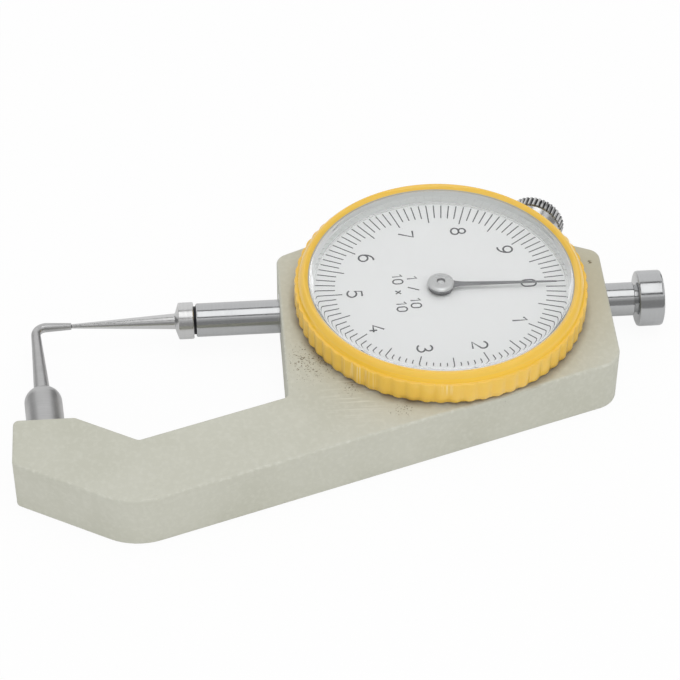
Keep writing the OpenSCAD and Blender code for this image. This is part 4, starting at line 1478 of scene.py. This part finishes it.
@dataclass
class Studio:
    """Pale floor, soft light and the camera at the photograph's angle."""

    target: Point = (-18.124, -5.711, 8.0)
    azimuth: float = -4.464
    elevation: float = 44.333
    roll: float = 0.256
    distance: float = 441.64
    lens: float = 133.56
    sensor: float = 36.0
    ambient: float = 0.72
    floor_white: float = 0.94
    floor_shine: float = 0.3

    def camera(self) -> None:
        """Set the camera on its axes and make it the scene's own."""
        a, e, roll = (math.radians(v) for v in (self.azimuth, self.elevation, self.roll))
        back = Vector((math.sin(a) * math.cos(e), -math.cos(a) * math.cos(e), math.sin(e)))
        right = Vector((math.cos(a), math.sin(a), 0.0))
        up = back.cross(right)
        across = right * math.cos(roll) + up * math.sin(roll)
        upward = up * math.cos(roll) - right * math.sin(roll)
        spot = (Vector(self.target) + back * self.distance) * MM
        deselect()
        bpy.ops.object.camera_add()
        camera = bpy.context.object
        camera.name = "photo_camera"
        place = Matrix((across, upward, back)).transposed().to_4x4()
        place.translation = spot
        camera.matrix_world = place
        camera.data.lens = self.lens
        camera.data.sensor_width = self.sensor
        camera.data.clip_start = 0.01
        bpy.context.scene.camera = camera

    def world(self) -> None:
        """Light all round, white where the eye, metal or glass sees it."""
        world = bpy.data.worlds.new("studio_light")
        world.use_nodes = True
        bpy.context.scene.world = world
        tree = world.node_tree
        ray = add(tree, "ShaderNodeLightPath")
        seen = add(tree, "ShaderNodeMath", {0: ray.outputs["Is Camera Ray"], 1: ray.outputs["Is Glossy Ray"]},
                   operation="MAXIMUM")
        seen = add(tree, "ShaderNodeMath", {0: seen.outputs[0], 1: ray.outputs["Is Transmission Ray"]},
                   operation="MAXIMUM")
        level = add(tree, "ShaderNodeMapRange", {0: seen.outputs[0], 3: self.ambient, 4: 1.0})
        back = tree.nodes["Background"]
        back.inputs["Color"].default_value = (1.0, 1.0, 1.0, 1.0)
        tree.links.new(level.outputs[0], back.inputs["Strength"])

    def floor(self) -> None:
        """Lay a pale floor that reads as white and keeps a faint shadow."""
        deselect()
        bpy.ops.mesh.primitive_plane_add(size=6.0, location=(0.0, 0.0, -0.00005))
        floor = bpy.context.object
        floor.name = "studio_floor"
        material = bpy.data.materials.new("white_paper_floor")
        material.use_nodes = True
        tree = material.node_tree
        shader = tree.nodes["Principled BSDF"]
        shader.inputs["Base Color"].default_value = (0.9, 0.9, 0.9, 1.0)
        shader.inputs["Roughness"].default_value = 1.0
        shader.inputs["Specular IOR Level"].default_value = 0.0
        ray = add(tree, "ShaderNodeLightPath")
        seen = add(tree, "ShaderNodeMath",
                   {0: ray.outputs["Is Camera Ray"], 1: ray.outputs["Is Transmission Ray"]},
                   operation="MAXIMUM")
        white = add(tree, "ShaderNodeMath", {0: seen.outputs[0], 1: self.floor_white}, operation="MULTIPLY")
        shine = add(tree, "ShaderNodeMath", {0: ray.outputs["Is Glossy Ray"], 1: self.floor_shine},
                    operation="MULTIPLY")
        share = add(tree, "ShaderNodeMath", {0: white.outputs[0], 1: shine.outputs[0]}, operation="MAXIMUM")
        glow = add(tree, "ShaderNodeEmission", {"Color": (1.0, 1.0, 1.0, 1.0), "Strength": 1.0})
        both = add(tree, "ShaderNodeMixShader",
                   {0: share.outputs[0], 1: shader.outputs[0], 2: glow.outputs[0]})
        tree.links.new(both.outputs[0], tree.nodes["Material Output"].inputs["Surface"])
        floor.data.materials.append(material)

    def facing(self, place: Point) -> Matrix:
        """Level frame at a place, whose Z axis points away from the object.

        Args:
            place: The place, in metres.

        Returns:
            The frame, as a matrix.
        """
        back = (Vector(place) - Vector(self.target) * MM).normalized()
        side = Vector((1.0, 0.0, 0.0)) if back.z > 0.8 else Vector((0.0, 0.0, 1.0)).cross(back)
        across = (side - back * side.dot(back)).normalized()
        turned = Matrix((across, back.cross(across), back)).transposed().to_4x4()
        turned.translation = place
        return turned

    def card(self, name: str, place: Point, size: Plan, grey: float) -> None:
        """Hang a dark card that only metal and glass mirror.

        Args:
            name: Name of the card.
            place: Where it hangs, in metres.
            size: Its width and height.
            grey: How light it is.
        """
        deselect()
        bpy.ops.mesh.primitive_plane_add(size=1.0)
        card = bpy.context.object
        card.name = name
        card.matrix_world = self.facing(place) @ Matrix.Diagonal((*size, 1.0, 1.0))
        material = bpy.data.materials.new(name)
        material.use_nodes = True
        tree = material.node_tree
        glow = add(tree, "ShaderNodeEmission", {"Color": (grey, grey, grey, 1.0), "Strength": 1.0})
        tree.links.new(glow.outputs[0], tree.nodes["Material Output"].inputs["Surface"])
        card.data.materials.append(material)
        card.visible_camera = False
        card.visible_diffuse = False
        card.visible_transmission = False
        card.visible_shadow = False

    def lamp(self, name: str, place: Point, size: Plan, power: float, mirrored: bool = True) -> None:
        """Hang a soft lamp that looks at the object.

        Args:
            name: Name of the lamp.
            place: Where it hangs, in metres.
            size: Its width and depth, in metres.
            power: Its power, in watts.
            mirrored: Whether metal shows it.
        """
        deselect()
        bpy.ops.object.light_add(type="AREA")
        lamp = bpy.context.object
        lamp.name = name
        lamp.data.shape = "RECTANGLE"
        lamp.data.size, lamp.data.size_y = size
        lamp.data.energy = power
        lamp.visible_glossy = mirrored
        lamp.matrix_world = self.facing(place)

    def build(self) -> None:
        """Set up the whole studio."""
        bpy.context.scene.view_settings.view_transform = "Standard"
        self.camera()
        self.world()
        self.floor()
        self.lamp("top_lamp", (0.05, -0.06, 0.7), (0.4, 0.52), 1.1)
        self.lamp("fill_lamp", (0.05, -0.65, 0.36), (0.5, 0.5), 0.68, mirrored=False)
        self.card("lamp_frame", (0.05, -0.06, 0.72), (0.66, 0.78), 0.1)
        self.card("front_card", (0.0, -0.85, 0.68), (3.0, 0.36), 0.58)
        self.card("low_front_card", (0.0, -0.85, 0.25), (3.0, 0.56), 0.36)
        self.card("left_card", (-1.0, 0.1, 0.3), (1.6, 0.9), 0.34)
        self.card("right_card", (1.0, 0.1, 0.3), (1.6, 0.9), 0.34)
        self.card("back_right_card", (0.69, 0.86, 0.3), (0.5, 0.7), 0.2)


def main() -> None:
    """Build the studio and every sub-assembly."""
    logging.basicConfig(level=logging.INFO, format="%(name)s %(message)s")
    Studio().build()
    palette = Palette()
    for part in (FrameCasting(), Anvil(), Spindle(), BezelRing(), DialFace(), Pointer(), LockScrew()):
        part.build(palette)
    InnerWorks().dress(palette)
    deselect()


if __name__ == "__main__":
    main()
